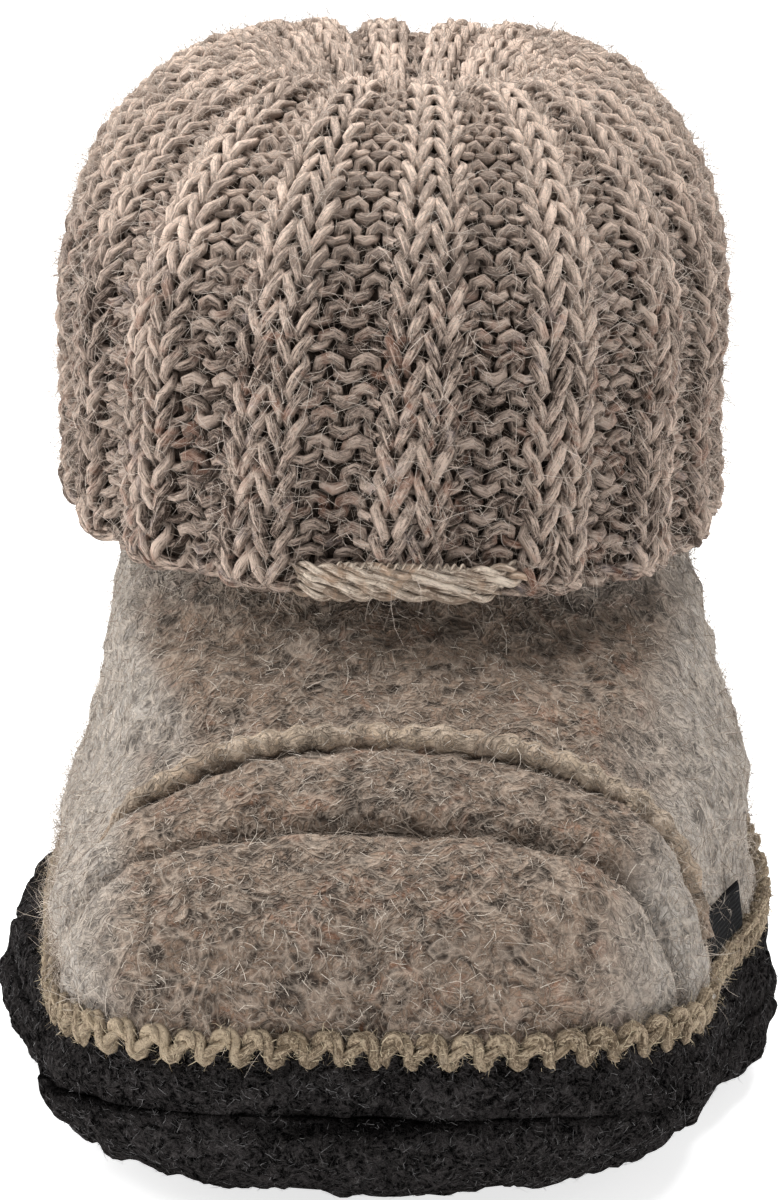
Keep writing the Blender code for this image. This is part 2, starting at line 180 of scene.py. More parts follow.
SOLE_RINGS = (
    Ring("tread", 5.2, 95.9, 34.6, 88, 87, 2.3, 1.95, 2.5, 0, 0, 0),
    Ring("roll", 1.5, 98.8, 34.6, 96.5, 95.5, 2.45, 2.1, 2.6, 3.2, 3.3, 3.1),
    Ring("bulge", 0, 100, 34.6, 100, 100, 2.95, 2.4, 2.6, 8.9, 8.9, 8.3),
    Ring("shoulder", 0.7, 99.4, 34.6, 98.3, 98.3, 3.6, 2.9, 2.6, 14.3, 14.2, 13.3),
)
WALL_RINGS = (
    Ring("rand foot", 0.9, 99.3, 34.6, 97.6, 97, 3.7, 2.95, 2.6, 15, 15, 14),
    Ring("rand", 0.8, 99.3, 34.6, 97.5, 95, 4, 3, 2.6, 20, 20, 18.8),
    Ring("seam", 1.5, 98.8, 34.6, 95, 84.8, 5, 3, 2.6, 25.7, 25.9, 25),
    Ring("toe box", 2.1, 98.5, 36, 92, 86, 4.6, 2.85, 2.5, 34.1, 36.3, 38.9),
    Ring("toe cap", 5.3, 97.1, 38.8, 91, 79.5, 4.2, 2.7, 2.5, 46, 46.7, 52.8),
    Ring("tuck", 11.2, 95.3, 43.5, 84.5, 75.5, 3, 2.65, 2.4, 54.9, 57, 63.9),
    Ring("ridge", 17.9, 93.8, 50, 81, 75.5, 2.7, 2.4, 2.4, 65.1, 67.4, 74.3),
    Ring("instep", 24.7, 92.5, 57, 76.5, 75, 2.35, 2.15, 2.3, 73.8, 77, 83.3),
    Ring("throat", 30, 91.5, 60, 74.5, 73.5, 2.3, 2.2, 2.3, 86.5, 86.7, 91.7),
    Ring("collar", 33.5, 90.5, 62.4, 73, 72, 2.4, 2.4, 2.3, 100, 97.8, 100),
)
CUFF_RINGS = (
    Ring("hem", 24.8, 98, 59.5, 86, 89.5, 2.3, 2.45, 2.4, 54, 52.2, 51),
    Ring("lower", 24.8, 98.3, 59.5, 84.8, 89.8, 2.35, 2.45, 2.4, 60.1, 58, 57.5),
    Ring("middle", 26.6, 97.6, 59.5, 84.5, 90.3, 2.5, 2.5, 2.4, 70, 66.5, 67.2),
    Ring("upper", 29.6, 95.4, 60, 85.3, 90.3, 2.6, 2.6, 2.4, 81, 77, 77.5),
    Ring("shoulder", 34.4, 91.5, 61.5, 77.5, 82, 2.5, 2.5, 2.4, 91.6, 87, 86.2),
    Ring("crown", 41, 85.5, 62, 60.3, 63.3, 2.4, 2.4, 2.3, 98.8, 94.8, 92.6),
    Ring("lip", 47.4, 79.3, 62.3, 40, 41.5, 2.2, 2.2, 2.2, 100, 97.6, 95.3),
    Ring("throat", 51, 69.3, 60, 26.5, 27, 2.2, 2.2, 2.2, 93.6, 92.5, 91.6),
    Ring("inside", 50, 70.3, 60.2, 29, 29, 2.2, 2.2, 2.2, 80.5, 80.5, 80.5),
    Ring("root", 36, 88.2, 62.4, 60, 59, 2.4, 2.4, 2.3, 66, 69.3, 75.6),
)
SEAM = [ring.name for ring in WALL_RINGS].index("seam")
COLLAR = len(WALL_RINGS) - 1
ROOT = len(CUFF_RINGS) - 1


@dataclass(frozen=True)
class Last:
    """The shoe's driving sizes and the way its sides and toe are shaped."""

    length: float = 170 * MM
    ball_width: float = 80 * MM
    instep_height: float = 63 * MM
    heel_height: float = 72 * MM
    cuff_height: float = 97.5 * MM
    toe_spring: float = 2.4 * MM
    spring_reach: float = 0.24
    toe_swing: float = 0.5 * MM
    ball_at: float = 0.365
    toe_pinch: tuple[float, float] = (0.11, 0.13)
    toe_pinch_at: float = 0.18
    toe_pinch_span: float = 0.085
    toe_full: float = 0.85
    toe_full_at: float = 21 * MM
    toe_full_span: float = 9 * MM
    waist_pinch: tuple[float, float] = (0.07, 0.11)
    waist_pinch_at: float = 0.61
    waist_pinch_span: float = 0.16

    def at(self, y: np.ndarray) -> np.ndarray:
        """Return y as a share of the length from the toe tip."""
        return y / self.length + 0.5

    def spring(self, y: np.ndarray) -> np.ndarray:
        """Return how far the toe spring lifts a point at y."""
        return self.toe_spring * np.clip(1 - self.at(y) / self.spring_reach, 0, None) ** 2

    def shape_sides(self, x: np.ndarray, y: np.ndarray, z: np.ndarray) -> np.ndarray:
        """Draw the sides in behind the toe and at the waist, and swing the toe inward."""
        at = self.at(y)
        outer, inner = self.toe_pinch
        inner = inner * (1 - self.toe_full * bell(z, self.toe_full_at, self.toe_full_span))
        toe = np.where(x > 0, outer, inner) * bell(at, self.toe_pinch_at, self.toe_pinch_span)
        waist = np.where(x > 0, *self.waist_pinch) * bell(at, self.waist_pinch_at, self.waist_pinch_span)
        swing = self.toe_swing * np.clip(1 - at / self.ball_at, 0, None) ** 2
        return x * (1 - toe - waist) - swing

    def body_heights(self, ring: Ring) -> tuple[float, float, float]:
        """Return a felt ring's heights at the toe, side and heel."""
        side = (self.instep_height + self.heel_height) / 2
        return (
            ring.toe_z / 100 * self.instep_height,
            ring.side_z / 100 * side,
            ring.heel_z / 100 * self.heel_height,
        )

    def cuff_heights(self, ring: Ring) -> tuple[float, float, float]:
        """Return a cuff ring's heights at the front, side and back."""
        return tuple(height / 100 * self.cuff_height for height in (ring.toe_z, ring.side_z, ring.heel_z))


LAST = Last()


class Loft:
    """A smooth wall through closed rings: u is the turn from the toe, v counts the rings."""

    dense = 720
    turn_step = 0.004
    row_step = 0.02
    walk_step = 0.05
    walk_count = 60

    def __init__(self, rings: tuple[Ring, ...], knitted: bool = False) -> None:
        """Work out the dense rings."""
        heights = LAST.cuff_heights if knitted else LAST.body_heights
        self.rings = np.stack([self._ring(ring, heights(ring), not knitted) for ring in rings])

    def _ring(self, ring: Ring, heights: tuple[float, float, float], shaped: bool) -> np.ndarray:
        """Return a closed ring: the outer half from toe to heel, then the inner half back."""
        halves = []
        turn = np.linspace(0, math.pi, self.dense)
        forward = np.cos(turn) >= 0
        reach = np.where(forward, ring.front - ring.widest, ring.back - ring.widest) / 100
        toe_z, side_z, heel_z = heights
        for side, percent, nose in ((1, ring.outer, ring.outer_nose), (-1, ring.inner, ring.nose)):
            power = 2 / np.where(forward, nose, ring.heel)
            x = side * percent / 100 * LAST.ball_width / 2 * np.abs(np.sin(turn)) ** power
            y = LAST.length * (ring.widest / 100 - 0.5 + reach * np.abs(np.cos(turn)) ** power)
            z = side_z + (np.where(forward, toe_z, heel_z) - side_z) * np.cos(turn) ** 2
            if shaped:
                x = LAST.shape_sides(x, y, z)
                z = z + LAST.spring(y)
            halves.append(self._evenly(np.stack([x, y, z], axis=1), self.dense // 2 + 1))
        return np.concatenate([halves[0][:-1], halves[1][:0:-1]])

    @staticmethod
    def _evenly(points: np.ndarray, count: int) -> np.ndarray:
        """Resample an open run of points at even steps along its length."""
        steps = np.linalg.norm(np.diff(points, axis=0), axis=1)
        along = np.concatenate([[0], np.cumsum(steps)])
        at = np.linspace(0, along[-1], count)
        return np.stack([np.interp(at, along, points[:, axis]) for axis in range(3)], axis=1)

    def point(self, u: np.ndarray, v: np.ndarray) -> np.ndarray:
        """Return the wall's points at turns u and rows v, which are arrays of one shape."""
        u, v = np.broadcast_arrays(np.asarray(u, dtype=float) % 1 * self.dense, np.asarray(v, dtype=float))
        last = len(self.rings) - 1
        v = np.clip(v, 0, last)
        first = np.floor(u).astype(int)
        share = (u - first)[..., None]
        row = np.minimum(np.floor(v).astype(int), last - 1)
        t = (v - row)[..., None]
        a, b, c, d = (
            self.rings[np.clip(row + step, 0, last), first % self.dense] * (1 - share)
            + self.rings[np.clip(row + step, 0, last), (first + 1) % self.dense] * share
            for step in (-1, 0, 1, 2)
        )
        return b + 0.5 * t * (c - a + t * (2 * a - 5 * b + 4 * c - d + t * (3 * (b - c) + d - a)))

    def normal(self, u: np.ndarray, v: np.ndarray) -> np.ndarray:
        """Return the wall's unit normals, away from the foot."""
        along = self.point(u + self.turn_step, v) - self.point(u - self.turn_step, v)
        up = self.point(u, v + self.row_step) - self.point(u, v - self.row_step)
        return unit(np.cross(along, up))

    def shifted(self, u: np.ndarray, v: np.ndarray, away: Reals) -> np.ndarray:
        """Return the wall's points moved along the normal."""
        return self.point(u, v) + self.normal(u, v) * np.asarray(away)[..., None]

    def row_at(self, u: np.ndarray, row: float, rise: float) -> np.ndarray:
        """Return the rows that lie a given rise along the wall above, or below, a row."""
        step = math.copysign(self.walk_step, rise)
        v = np.full(np.shape(u), float(row))
        left = np.full(np.shape(u), abs(rise))
        for _ in range(self.walk_count):
            length = np.linalg.norm(self.point(u, v + step) - self.point(u, v), axis=-1)
            share = np.clip(left / np.maximum(length, 1e-9), 0, 1)
            v = v + step * share
            left = left - length * share
        return v


@dataclass
class Patch:
    """Points, quads and the values that go with each point of a mesh in the making."""

    points: np.ndarray
    quads: np.ndarray
    uv: np.ndarray | None = None
    values: dict[str, np.ndarray] = field(default_factory=dict)

    @staticmethod
    def grid(points: np.ndarray, **values: Reals) -> Patch:
        """Return a patch over a grid of points whose columns close on themselves."""
        rows, columns = points.shape[:2]
        index = np.arange(rows * columns).reshape(rows, columns)
        index = np.concatenate([index, index[:, :1]], axis=1)
        quads = np.stack([index[:-1, :-1], index[:-1, 1:], index[1:, 1:], index[1:, :-1]], axis=-1)
        flat = {name: np.broadcast_to(value, (rows, columns)).ravel() for name, value in values.items()}
        return Patch(points.reshape(-1, 3), quads.reshape(-1, 4), None, flat)

    @staticmethod
    def join(*patches: Patch) -> Patch:
        """Return several patches as one."""
        starts = np.cumsum([0] + [len(patch.points) for patch in patches])
        quads = np.concatenate([patch.quads + start for patch, start in zip(patches, starts)])
        points = np.concatenate([patch.points for patch in patches])
        uv = None
        if any(patch.uv is not None for patch in patches):
            blank = [np.zeros((len(patch.points), 2)) if patch.uv is None else patch.uv for patch in patches]
            uv = np.concatenate(blank)
        names = sorted({name for patch in patches for name in patch.values})
        values = {
            name: np.concatenate([patch.values.get(name, np.zeros(len(patch.points))) for patch in patches])
            for name in names
        }
        return Patch(points, quads, uv, values)

    def normals(self) -> np.ndarray:
        """Return a unit normal for each quad."""
        a, b, c, d = (self.points[self.quads[:, corner]] for corner in range(4))
        return unit(np.cross(c - a, d - b))

    def areas(self) -> np.ndarray:
        """Return the area of each quad."""
        a, b, c, d = (self.points[self.quads[:, corner]] for corner in range(4))
        return np.linalg.norm(np.cross(c - a, d - b), axis=1) / 2


def add_piece(
    name: str, patch: Patch, material: bpy.types.Material, replaces: tuple[str, ...] = ()
) -> None:
    """Make a piece that rides on the slipper.

    Args:
        name: The piece's name.
        patch: Its mesh.
        material: Its finish.
        replaces: The solids that the piece stands for.
    """
    mesh = bpy.data.meshes.new(name)
    mesh.vertices.add(len(patch.points))
    mesh.vertices.foreach_set("co", patch.points.astype(np.float32).ravel())
    mesh.loops.add(patch.quads.size)
    mesh.loops.foreach_set("vertex_index", patch.quads.astype(np.int32).ravel())
    mesh.polygons.add(len(patch.quads))
    mesh.polygons.foreach_set("loop_start", np.arange(0, patch.quads.size, 4, dtype=np.int32))
    mesh.update(calc_edges=True)
    if patch.uv is not None:
        layer = mesh.uv_layers.new(name="fibre")
        layer.data.foreach_set("uv", patch.uv[patch.quads.ravel()].astype(np.float32).ravel())
    for label, values in patch.values.items():
        store = mesh.attributes.new(label, "FLOAT", "POINT")
        store.data.foreach_set("value", values.astype(np.float32))
    mesh.shade_smooth()
    mesh.materials.append(material)
    piece = bpy.data.objects.new(name, mesh)
    bpy.context.scene.collection.objects.link(piece)
    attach(piece, "root")
    if replaces:
        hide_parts(*replaces)
    LOG.info("%s: %d triangles", name, 2 * len(patch.quads))


def sweep(
    paths: np.ndarray, normals: np.ndarray, radius: Reals, sides: int, **values: np.ndarray
) -> Patch:
    """Return round yarns along paths.

    Args:
        paths: Points of each yarn, as yarns by steps by 3.
        normals: A direction across the yarn at each point, away from what it lies on.
        radius: The yarn's radius, for all points or for each.
        sides: The number of points around the yarn.
        values: Values for each point of the paths.

    Returns:
        The joined tubes, with texture places in millimetres along and around the yarn and a value named under
        that is 1 on the side toward what the yarn lies on.
    """
    count, steps = paths.shape[:2]
    tangent = unit(np.gradient(paths, axis=1))
    across = unit(np.cross(normals, tangent))
    out = np.cross(tangent, across)
    angle = 2 * math.pi * np.arange(sides) / sides - math.pi
    size = np.broadcast_to(np.asarray(radius, dtype=float), (count, steps))[..., None, None]
    circle = out[:, :, None] * np.cos(angle)[:, None] - across[:, :, None] * np.sin(angle)[:, None]
    points = paths[:, :, None] + size * circle
    length = np.linalg.norm(np.diff(paths, axis=1), axis=-1)
    along = np.concatenate([np.zeros((count, 1)), np.cumsum(length, axis=1)], axis=1) / MM
    around = np.broadcast_to(angle, (count, steps, sides)) * size[..., 0] / MM
    uv = np.stack([np.broadcast_to(along[..., None], around.shape), around], axis=-1)
    under = 0.5 - 0.5 * np.cos(angle)
    patches = []
    for k in range(count):
        extra = {name: np.broadcast_to(value, (count, steps))[k][:, None] for name, value in values.items()}
        extra["under"] = np.broadcast_to(under, (steps, sides))
        patch = Patch.grid(points[k], **extra)
        patch.uv = uv[k].reshape(-1, 2)
        patches.append(patch)
    return Patch.join(*patches)


def wound(path: np.ndarray, normals: np.ndarray, angle: np.ndarray) -> np.ndarray:
    """Return unit vectors that wind around a path; the angle starts across it and turns to the normals."""
    across = unit(np.cross(normals, unit(np.gradient(path, axis=0))))
    return across * np.cos(angle)[:, None] + normals * np.sin(angle)[:, None]


@dataclass(frozen=True)
class Noise:
    """The grain of a noise: how fine, detailed, rough and bent it is."""

    scale: float
    detail: float = 2
    roughness: float = 0.5
    bend: float = 0


@dataclass(frozen=True)
class Threads:
    """Thin curly lines: how fine and bent they run, and how wide they are."""

    scale: float
    bend: float
    width: float


class Shader:
    """Puts together the nodes of one material around its Principled shader."""

    sheen_roughness = 0.6
    thread_detail = 1.5

    def __init__(self, name: str) -> None:
        """Start the material."""
        self.material = bpy.data.materials.new(name)
        self.material.use_nodes = True
        self.tree = self.material.node_tree
        self.base = self.tree.nodes["Principled BSDF"]

    def set(self, socket: Socket, value: Socket | float | Color) -> None:
        """Link a socket to another or give it a fixed value."""
        if isinstance(value, bpy.types.NodeSocket):
            self.tree.links.new(value, socket)
        elif isinstance(value, tuple) and len(value) == 3 and socket.type == "RGBA":
            socket.default_value = (*value, 1)
        else:
            socket.default_value = value

    def node(self, kind: str, **inputs: Socket | float | Color) -> bpy.types.Node:
        """Add a node and set its inputs by name."""
        node = self.tree.nodes.new(kind)
        for name, value in inputs.items():
            self.set(node.inputs[name.replace("_", " ")], value)
        return node

    def place(self, scale: float = 1) -> Socket:
        """Return the place on the object in metres, or in scaled metres."""
        place = self.node("ShaderNodeTexCoord").outputs["Object"]
        if scale == 1:
            return place
        mapping = self.node("ShaderNodeMapping", Vector=place)
        mapping.inputs["Scale"].default_value = (scale, scale, scale)
        return mapping.outputs["Vector"]

    def yarn_place(self, turn: float, stretch: tuple[float, float, float]) -> Socket:
        """Return the place along and around a yarn, turned to its twist."""
        spot = self.node("ShaderNodeUVMap")
        spot.uv_map = "fibre"
        mapping = self.node("ShaderNodeMapping", Vector=spot.outputs["UV"])
        mapping.inputs["Rotation"].default_value = (0, 0, turn)
        mapping.inputs["Scale"].default_value = stretch
        return mapping.outputs["Vector"]

    def noise(self, place: Socket, noise: Noise) -> Socket:
        """Return a noise between 0 and 1."""
        node = self.node("ShaderNodeTexNoise", Vector=place, Scale=noise.scale, Detail=noise.detail)
        self.set(node.inputs["Roughness"], noise.roughness)
        self.set(node.inputs["Distortion"], noise.bend)
        return node.outputs["Fac"]

    def math(self, operation: str, *values: Socket | float) -> Socket:
        """Return the result of a sum on one, two or three values."""
        node = self.tree.nodes.new("ShaderNodeMath")
        node.operation = operation
        for socket, value in zip(node.inputs, values):
            self.set(socket, value)
        return node.outputs[0]

    def span(self, value: Socket, low: float, high: float, start: float = 0, end: float = 1) -> Socket:
        """Return a value stretched from one span to another and held inside it."""
        node = self.tree.nodes.new("ShaderNodeMapRange")
        node.clamp = True
        for index, number in enumerate((value, low, high, start, end)):
            self.set(node.inputs[index], number)
        return node.outputs[0]

    def mix(self, share: Socket | float, first: Socket | Color, second: Socket | Color) -> Socket:
        """Return a mix of two colours."""
        node = self.tree.nodes.new("ShaderNodeMix")
        node.data_type = "RGBA"
        self.set(node.inputs["Factor"], share)
        self.set(node.inputs[6], first)
        self.set(node.inputs[7], second)
        return node.outputs[2]

    def value(self, name: str) -> Socket:
        """Return a value that the mesh keeps for each point."""
        node = self.tree.nodes.new("ShaderNodeAttribute")
        node.attribute_name = name
        return node.outputs["Fac"]

    def threads(self, place: Socket, threads: Threads) -> Socket:
        """Return thin curly lines, 1 on a line and 0 between lines."""
        noise = self.noise(place, Noise(threads.scale, self.thread_detail, bend=threads.bend))
        away = self.math("ABSOLUTE", self.math("SUBTRACT", noise, 0.5))
        return self.span(away, 0, threads.width, 1, 0)

    def bump(self, height: Socket, distance: float) -> None:
        """Give the surface a relief of a height in metres."""
        node = self.node("ShaderNodeBump", Height=height, Distance=distance, Strength=1)
        self.set(self.base.inputs["Normal"], node.outputs["Normal"])

    def finish(
        self, color: Socket, roughness: float, sheen: float, sheen_tint: Color, gloss: float = 0.2
    ) -> bpy.types.Material:
        """Set the shader's colour and fixed values and return the material."""
        self.set(self.base.inputs["Base Color"], color)
        self.base.inputs["Roughness"].default_value = roughness
        self.base.inputs["Specular IOR Level"].default_value = gloss
        self.base.inputs["Sheen Weight"].default_value = sheen
        self.base.inputs["Sheen Roughness"].default_value = self.sheen_roughness
        self.base.inputs["Sheen Tint"].default_value = (*sheen_tint, 1)
        return self.material


@dataclass(frozen=True)
class FeltFinish:
    """Matted wool with a melange of fibres and fine curly hairs on it."""

    name: str
    dark: Color
    light: Color
    hair: Color
    fleck: Color
    pale: Color | None = None
    tan: Color | None = None
    fineness: float = 1
    cloud: Noise = Noise(70, 3, 0.6, 0.5)
    tuft: Noise = Noise(420, 2.5, 0.55, 1.2)
    grain: Noise = Noise(1500, 3, 0.65, 0.8)
    flecks: Noise = Noise(260, 2, 0.5, 1)
    wide_locks: Threads = Threads(300, 1.6, 0.07)
    narrow_locks: Threads = Threads(430, 2.4, 0.06)
    fine_hairs: Threads = Threads(640, 3, 0.03)
    tuft_share: float = 0.6
    cloud_share: float = 0.25
    grain_share: float = 0.25
    blend_span: tuple[float, float] = (0.44, 0.66)
    fleck_span: tuple[float, float] = (0.58, 0.7)
    fleck_share: float = 0.55
    narrow_share: float = 0.85
    lock_share: float = 0.4
    hair_share: float = 0.35
    shade_span: tuple[float, float] = (0.34, 0.52)
    shade_share: float = 0.75
    painted_shade_share: float = 0.85
    shade_tint: float = 0.35
    lock_height: float = 0.3
    grain_height: float = 0.35
    relief: float = 1.2 * MM
    roughness: float = 0.95
    sheen: float = 0.35
    gloss: float = 0.2

    def build(self) -> bpy.types.Material:
        """Return the material; pale, tan and deep are mesh values: pale paints sheen on the upper's sides,
        deep paints shade.
        """
        shader = Shader(self.name)
        place = shader.place(self.fineness)
        cloud = shader.noise(place, self.cloud)
        tuft = shader.noise(place, self.tuft)
        grain = shader.noise(place, self.grain)
        blend = shader.math("MULTIPLY", cloud, self.cloud_share)
        blend = shader.math("MULTIPLY_ADD", tuft, self.tuft_share, blend)
        blend = shader.math("MULTIPLY_ADD", grain, self.grain_share, blend)
        color = shader.mix(shader.span(blend, *self.blend_span), self.dark, self.light)
        fleck = shader.span(shader.noise(place, self.flecks), *self.fleck_span)
        color = shader.mix(shader.math("MULTIPLY", fleck, self.fleck_share), color, self.fleck)
        for name, tint in (("pale", self.pale), ("tan", self.tan)):
            if tint:
                color = shader.mix(shader.value(name), color, tint)
        narrow = shader.math("MULTIPLY", shader.threads(place, self.narrow_locks), self.narrow_share)
        locks = shader.math("MAXIMUM", shader.threads(place, self.wide_locks), narrow)
        color = shader.mix(shader.math("MULTIPLY", locks, self.lock_share), color, self.hair)
        fine = shader.threads(place, self.fine_hairs)
        color = shader.mix(shader.math("MULTIPLY", fine, self.hair_share), color, self.hair)
        # Painted shade: low spots of the tuft noise away from the locks, and the places the mesh marks for
        # painted shade, mix toward a dark shade colour.
        shade = shader.math("MULTIPLY", shader.span(tuft, *self.shade_span, 1, 0), self.shade_share)
        shade = shader.math("MULTIPLY", shade, shader.math("SUBTRACT", 1, locks))
        shade = shader.math("MAXIMUM", shade, shader.math("MULTIPLY", shader.value("deep"), self.painted_shade_share))
        color = shader.mix(shade, color, scaled(self.dark, self.shade_tint))
        height = shader.math("MULTIPLY_ADD", locks, self.lock_height, tuft)
        height = shader.math("MULTIPLY_ADD", grain, self.grain_height, height)
        shader.bump(height, self.relief)
        return shader.finish(color, self.roughness, self.sheen, self.hair, self.gloss)


@dataclass(frozen=True)
class YarnFinish:
    """Twisted wool yarn with streaks along its fibres."""

    name: str
    dark: Color
    light: Color
    fleck: Color
    cool: Color
    twist: float = math.radians(24)
    streak: Noise = Noise(1, 3, 0.7, 0.5)
    streak_stretch: tuple[float, float, float] = (0.7, 4.2, 1)
    streak_share: float = 0.6
    strand: Noise = Noise(1, 2, 0.5, 0.3)
    strand_stretch: tuple[float, float, float] = (0.4, 1.9, 1)
    strand_share: float = 0.4
    nap: Noise = Noise(1700, 3, 0.7, 1.5)
    grain: float = 0.3
    tone_share: float = 0.05
    blend_span: tuple[float, float] = (0.41, 0.59)
    fleck_spots: Noise = Noise(260, 3, 0.6, 1)
    fleck_span: tuple[float, float] = (0.55, 0.68)
    fleck_share: float = 0.5
    cool_spots: Noise = Noise(200, 3, 0.6, 1.4)
    cool_span: tuple[float, float] = (0.6, 0.74)
    cool_share: float = 0.4
    lightening: tuple[float, float] = (0.5, 1.35)
    painted_shade_share: float = 0.6
    under_span: tuple[float, float] = (0.08, 0.6)
    shadow: float = 0.72
    shade_tint: float = 0.35
    relief: float = 0.55 * MM
    roughness: float = 0.92
    sheen: float = 0.35

    def build(self) -> bpy.types.Material:
        """Return the material; tone, pale, deep and under are mesh values: pale paints top light, deep and
        under paint shade.
        """
        shader = Shader(self.name)
        streak = shader.noise(shader.yarn_place(self.twist, self.streak_stretch), self.streak)
        strand = shader.noise(shader.yarn_place(self.twist, self.strand_stretch), self.strand)
        strand = shader.math("MULTIPLY", strand, self.strand_share)
        both = shader.math("MULTIPLY_ADD", streak, self.streak_share, strand)
        place = shader.place()
        nap = shader.math("SUBTRACT", shader.noise(place, self.nap), 0.5)
        both = shader.math("MULTIPLY_ADD", nap, self.grain, both)
        lit = shader.math("MULTIPLY_ADD", shader.value("tone"), self.tone_share, both)
        streaks = shader.span(lit, *self.blend_span)
        color = shader.mix(streaks, self.dark, self.light)
        warm = shader.span(shader.noise(place, self.fleck_spots), *self.fleck_span)
        color = shader.mix(shader.math("MULTIPLY", warm, self.fleck_share), color, self.fleck)
        cool = shader.span(shader.noise(place, self.cool_spots), *self.cool_span)
        color = shader.mix(shader.math("MULTIPLY", cool, self.cool_share), color, self.cool)
        # Painted top light: where the mesh's pale value rises, toward the cuff's top, the colour is lifted
        # toward a brighter copy of the yarn's streaks.
        lightening = shader.mix(streaks, *(scaled(self.light, share) for share in self.lightening))
        color = shader.mix(shader.value("pale"), color, lightening)
        # Painted shade: the recesses the mesh marks and the yarn's underside, toward what it lies on, mix
        # toward a dark shade colour.
        recess_shade = shader.math("MULTIPLY", shader.value("deep"), self.painted_shade_share)
        under = shader.span(shader.value("under"), *self.under_span, 0, self.shadow)
        color = shader.mix(shader.math("MAXIMUM", recess_shade, under), color, scaled(self.dark, self.shade_tint))
        shader.bump(both, self.relief)
        return shader.finish(color, self.roughness, self.sheen, self.light)


@dataclass(frozen=True)
class HairFinish:
    """Single stray wool hairs."""

    name: str
    dark: Color
    light: Color
    change: Noise = Noise(250)
    change_share: float = 0.3
    blend_span: tuple[float, float] = (0.1, 1.1)
    roughness: float = 0.85
    sheen: float = 0.3

    def build(self) -> bpy.types.Material:
        """Return the material; tone is a value of the mesh."""
        shader = Shader(self.name)
        change = shader.math("MULTIPLY", shader.noise(shader.place(), self.change), self.change_share)
        tone = shader.math("ADD", shader.value("tone"), change)
        color = shader.mix(shader.span(tone, *self.blend_span), self.dark, self.light)
        return shader.finish(color, self.roughness, self.sheen, self.light)


@dataclass(frozen=True)
class TapeFinish:
    """Plain woven tape."""

    name: str
    dark: Color
    light: Color
    pitch: float = 0.45 * MM
    waver: float = 0.4
    dust: Noise = Noise(500, 3)
    relief: float = 0.15 * MM
    roughness: float = 0.8
    gloss: float = 0.05

    def build(self) -> bpy.types.Material:
        """Return the material, with a woven relief."""
        shader = Shader(self.name)
        place = shader.place()
        threads = []
        for direction in ("Y", "Z"):
            scale = 1 / self.pitch / 3
            wave = shader.node("ShaderNodeTexWave", Vector=place, Scale=scale, Distortion=self.waver)
            wave.bands_direction = direction
            threads.append(wave.outputs["Fac"])
        weave = shader.math("MAXIMUM", *threads)
        lightening = shader.math("MULTIPLY", weave, shader.noise(place, self.dust))
        color = shader.mix(lightening, self.dark, self.light)
        shader.bump(weave, self.relief)
        return shader.finish(color, self.roughness, 0, self.light, self.gloss)


# pale is the colour of the painted sheen on the upper's sides, and lightly tints the lining.
UPPER_FINISH = FeltFinish(
    "boiled_wool",
    dark=srgb(48, 36, 29), light=srgb(139, 117, 100), hair=srgb(200, 184, 168), fleck=srgb(132, 90, 67),
    pale=srgb(176, 170, 163), tan=srgb(204, 184, 160),
)
SOLE_FINISH = FeltFinish(
    "charcoal_felt",
    dark=srgb(2, 2, 3), light=srgb(70, 66, 66), hair=srgb(120, 116, 114), fleck=srgb(44, 40, 40),
    lock_share=0.2, hair_share=0.25, relief=1.6 * MM, sheen=0, fineness=2.6, gloss=0, blend_span=(0.5, 0.7),
)
INSOLE_FINISH = FeltFinish(
    "insole_felt",
    dark=srgb(98, 90, 80), light=srgb(140, 130, 118), hair=srgb(176, 168, 156), fleck=srgb(120, 105, 92),
)
KNIT_FINISH = YarnFinish(
    "tweed_yarn",
    dark=srgb(50, 36, 29), light=srgb(216, 194, 178), fleck=srgb(150, 98, 75), cool=srgb(146, 140, 148),
)
HEM_FINISH = YarnFinish(
    "hem_yarn",
    dark=srgb(136, 117, 101), light=srgb(236, 220, 202), fleck=srgb(206, 170, 140), cool=srgb(190, 180, 172),
)
STITCH_FINISH = YarnFinish(
    "cream_wool",
    dark=srgb(102, 86, 68), light=srgb(190, 171, 146), fleck=srgb(150, 132, 106), cool=srgb(152, 144, 128),
    relief=0.6 * MM, grain=0.8,
)
# Painted shade: the backing behind the loops is much darker than the yarn, standing in for the shade in the
# gaps between stitches.
SHADED_BACKING_FINISH = FeltFinish(
    "knit_inside_shade",
    dark=srgb(34, 27, 23), light=srgb(70, 59, 51), hair=srgb(100, 88, 78), fleck=srgb(66, 50, 41),
    hair_share=0.3,
)
TAPE_FINISH = TapeFinish("black_tape", dark=srgb(6, 6, 7), light=srgb(24, 24, 26))
UPPER_HAIR = HairFinish("wool_hair", dark=srgb(104, 86, 72), light=srgb(206, 195, 182))
SOLE_HAIR = HairFinish("charcoal_hair", dark=srgb(20, 20, 21), light=srgb(120, 118, 118))
KNIT_HAIR = HairFinish("yarn_hair", dark=srgb(112, 97, 85), light=srgb(216, 203, 191))
STITCH_HAIR = HairFinish("cream_hair", dark=srgb(120, 106, 86), light=srgb(196, 182, 156))


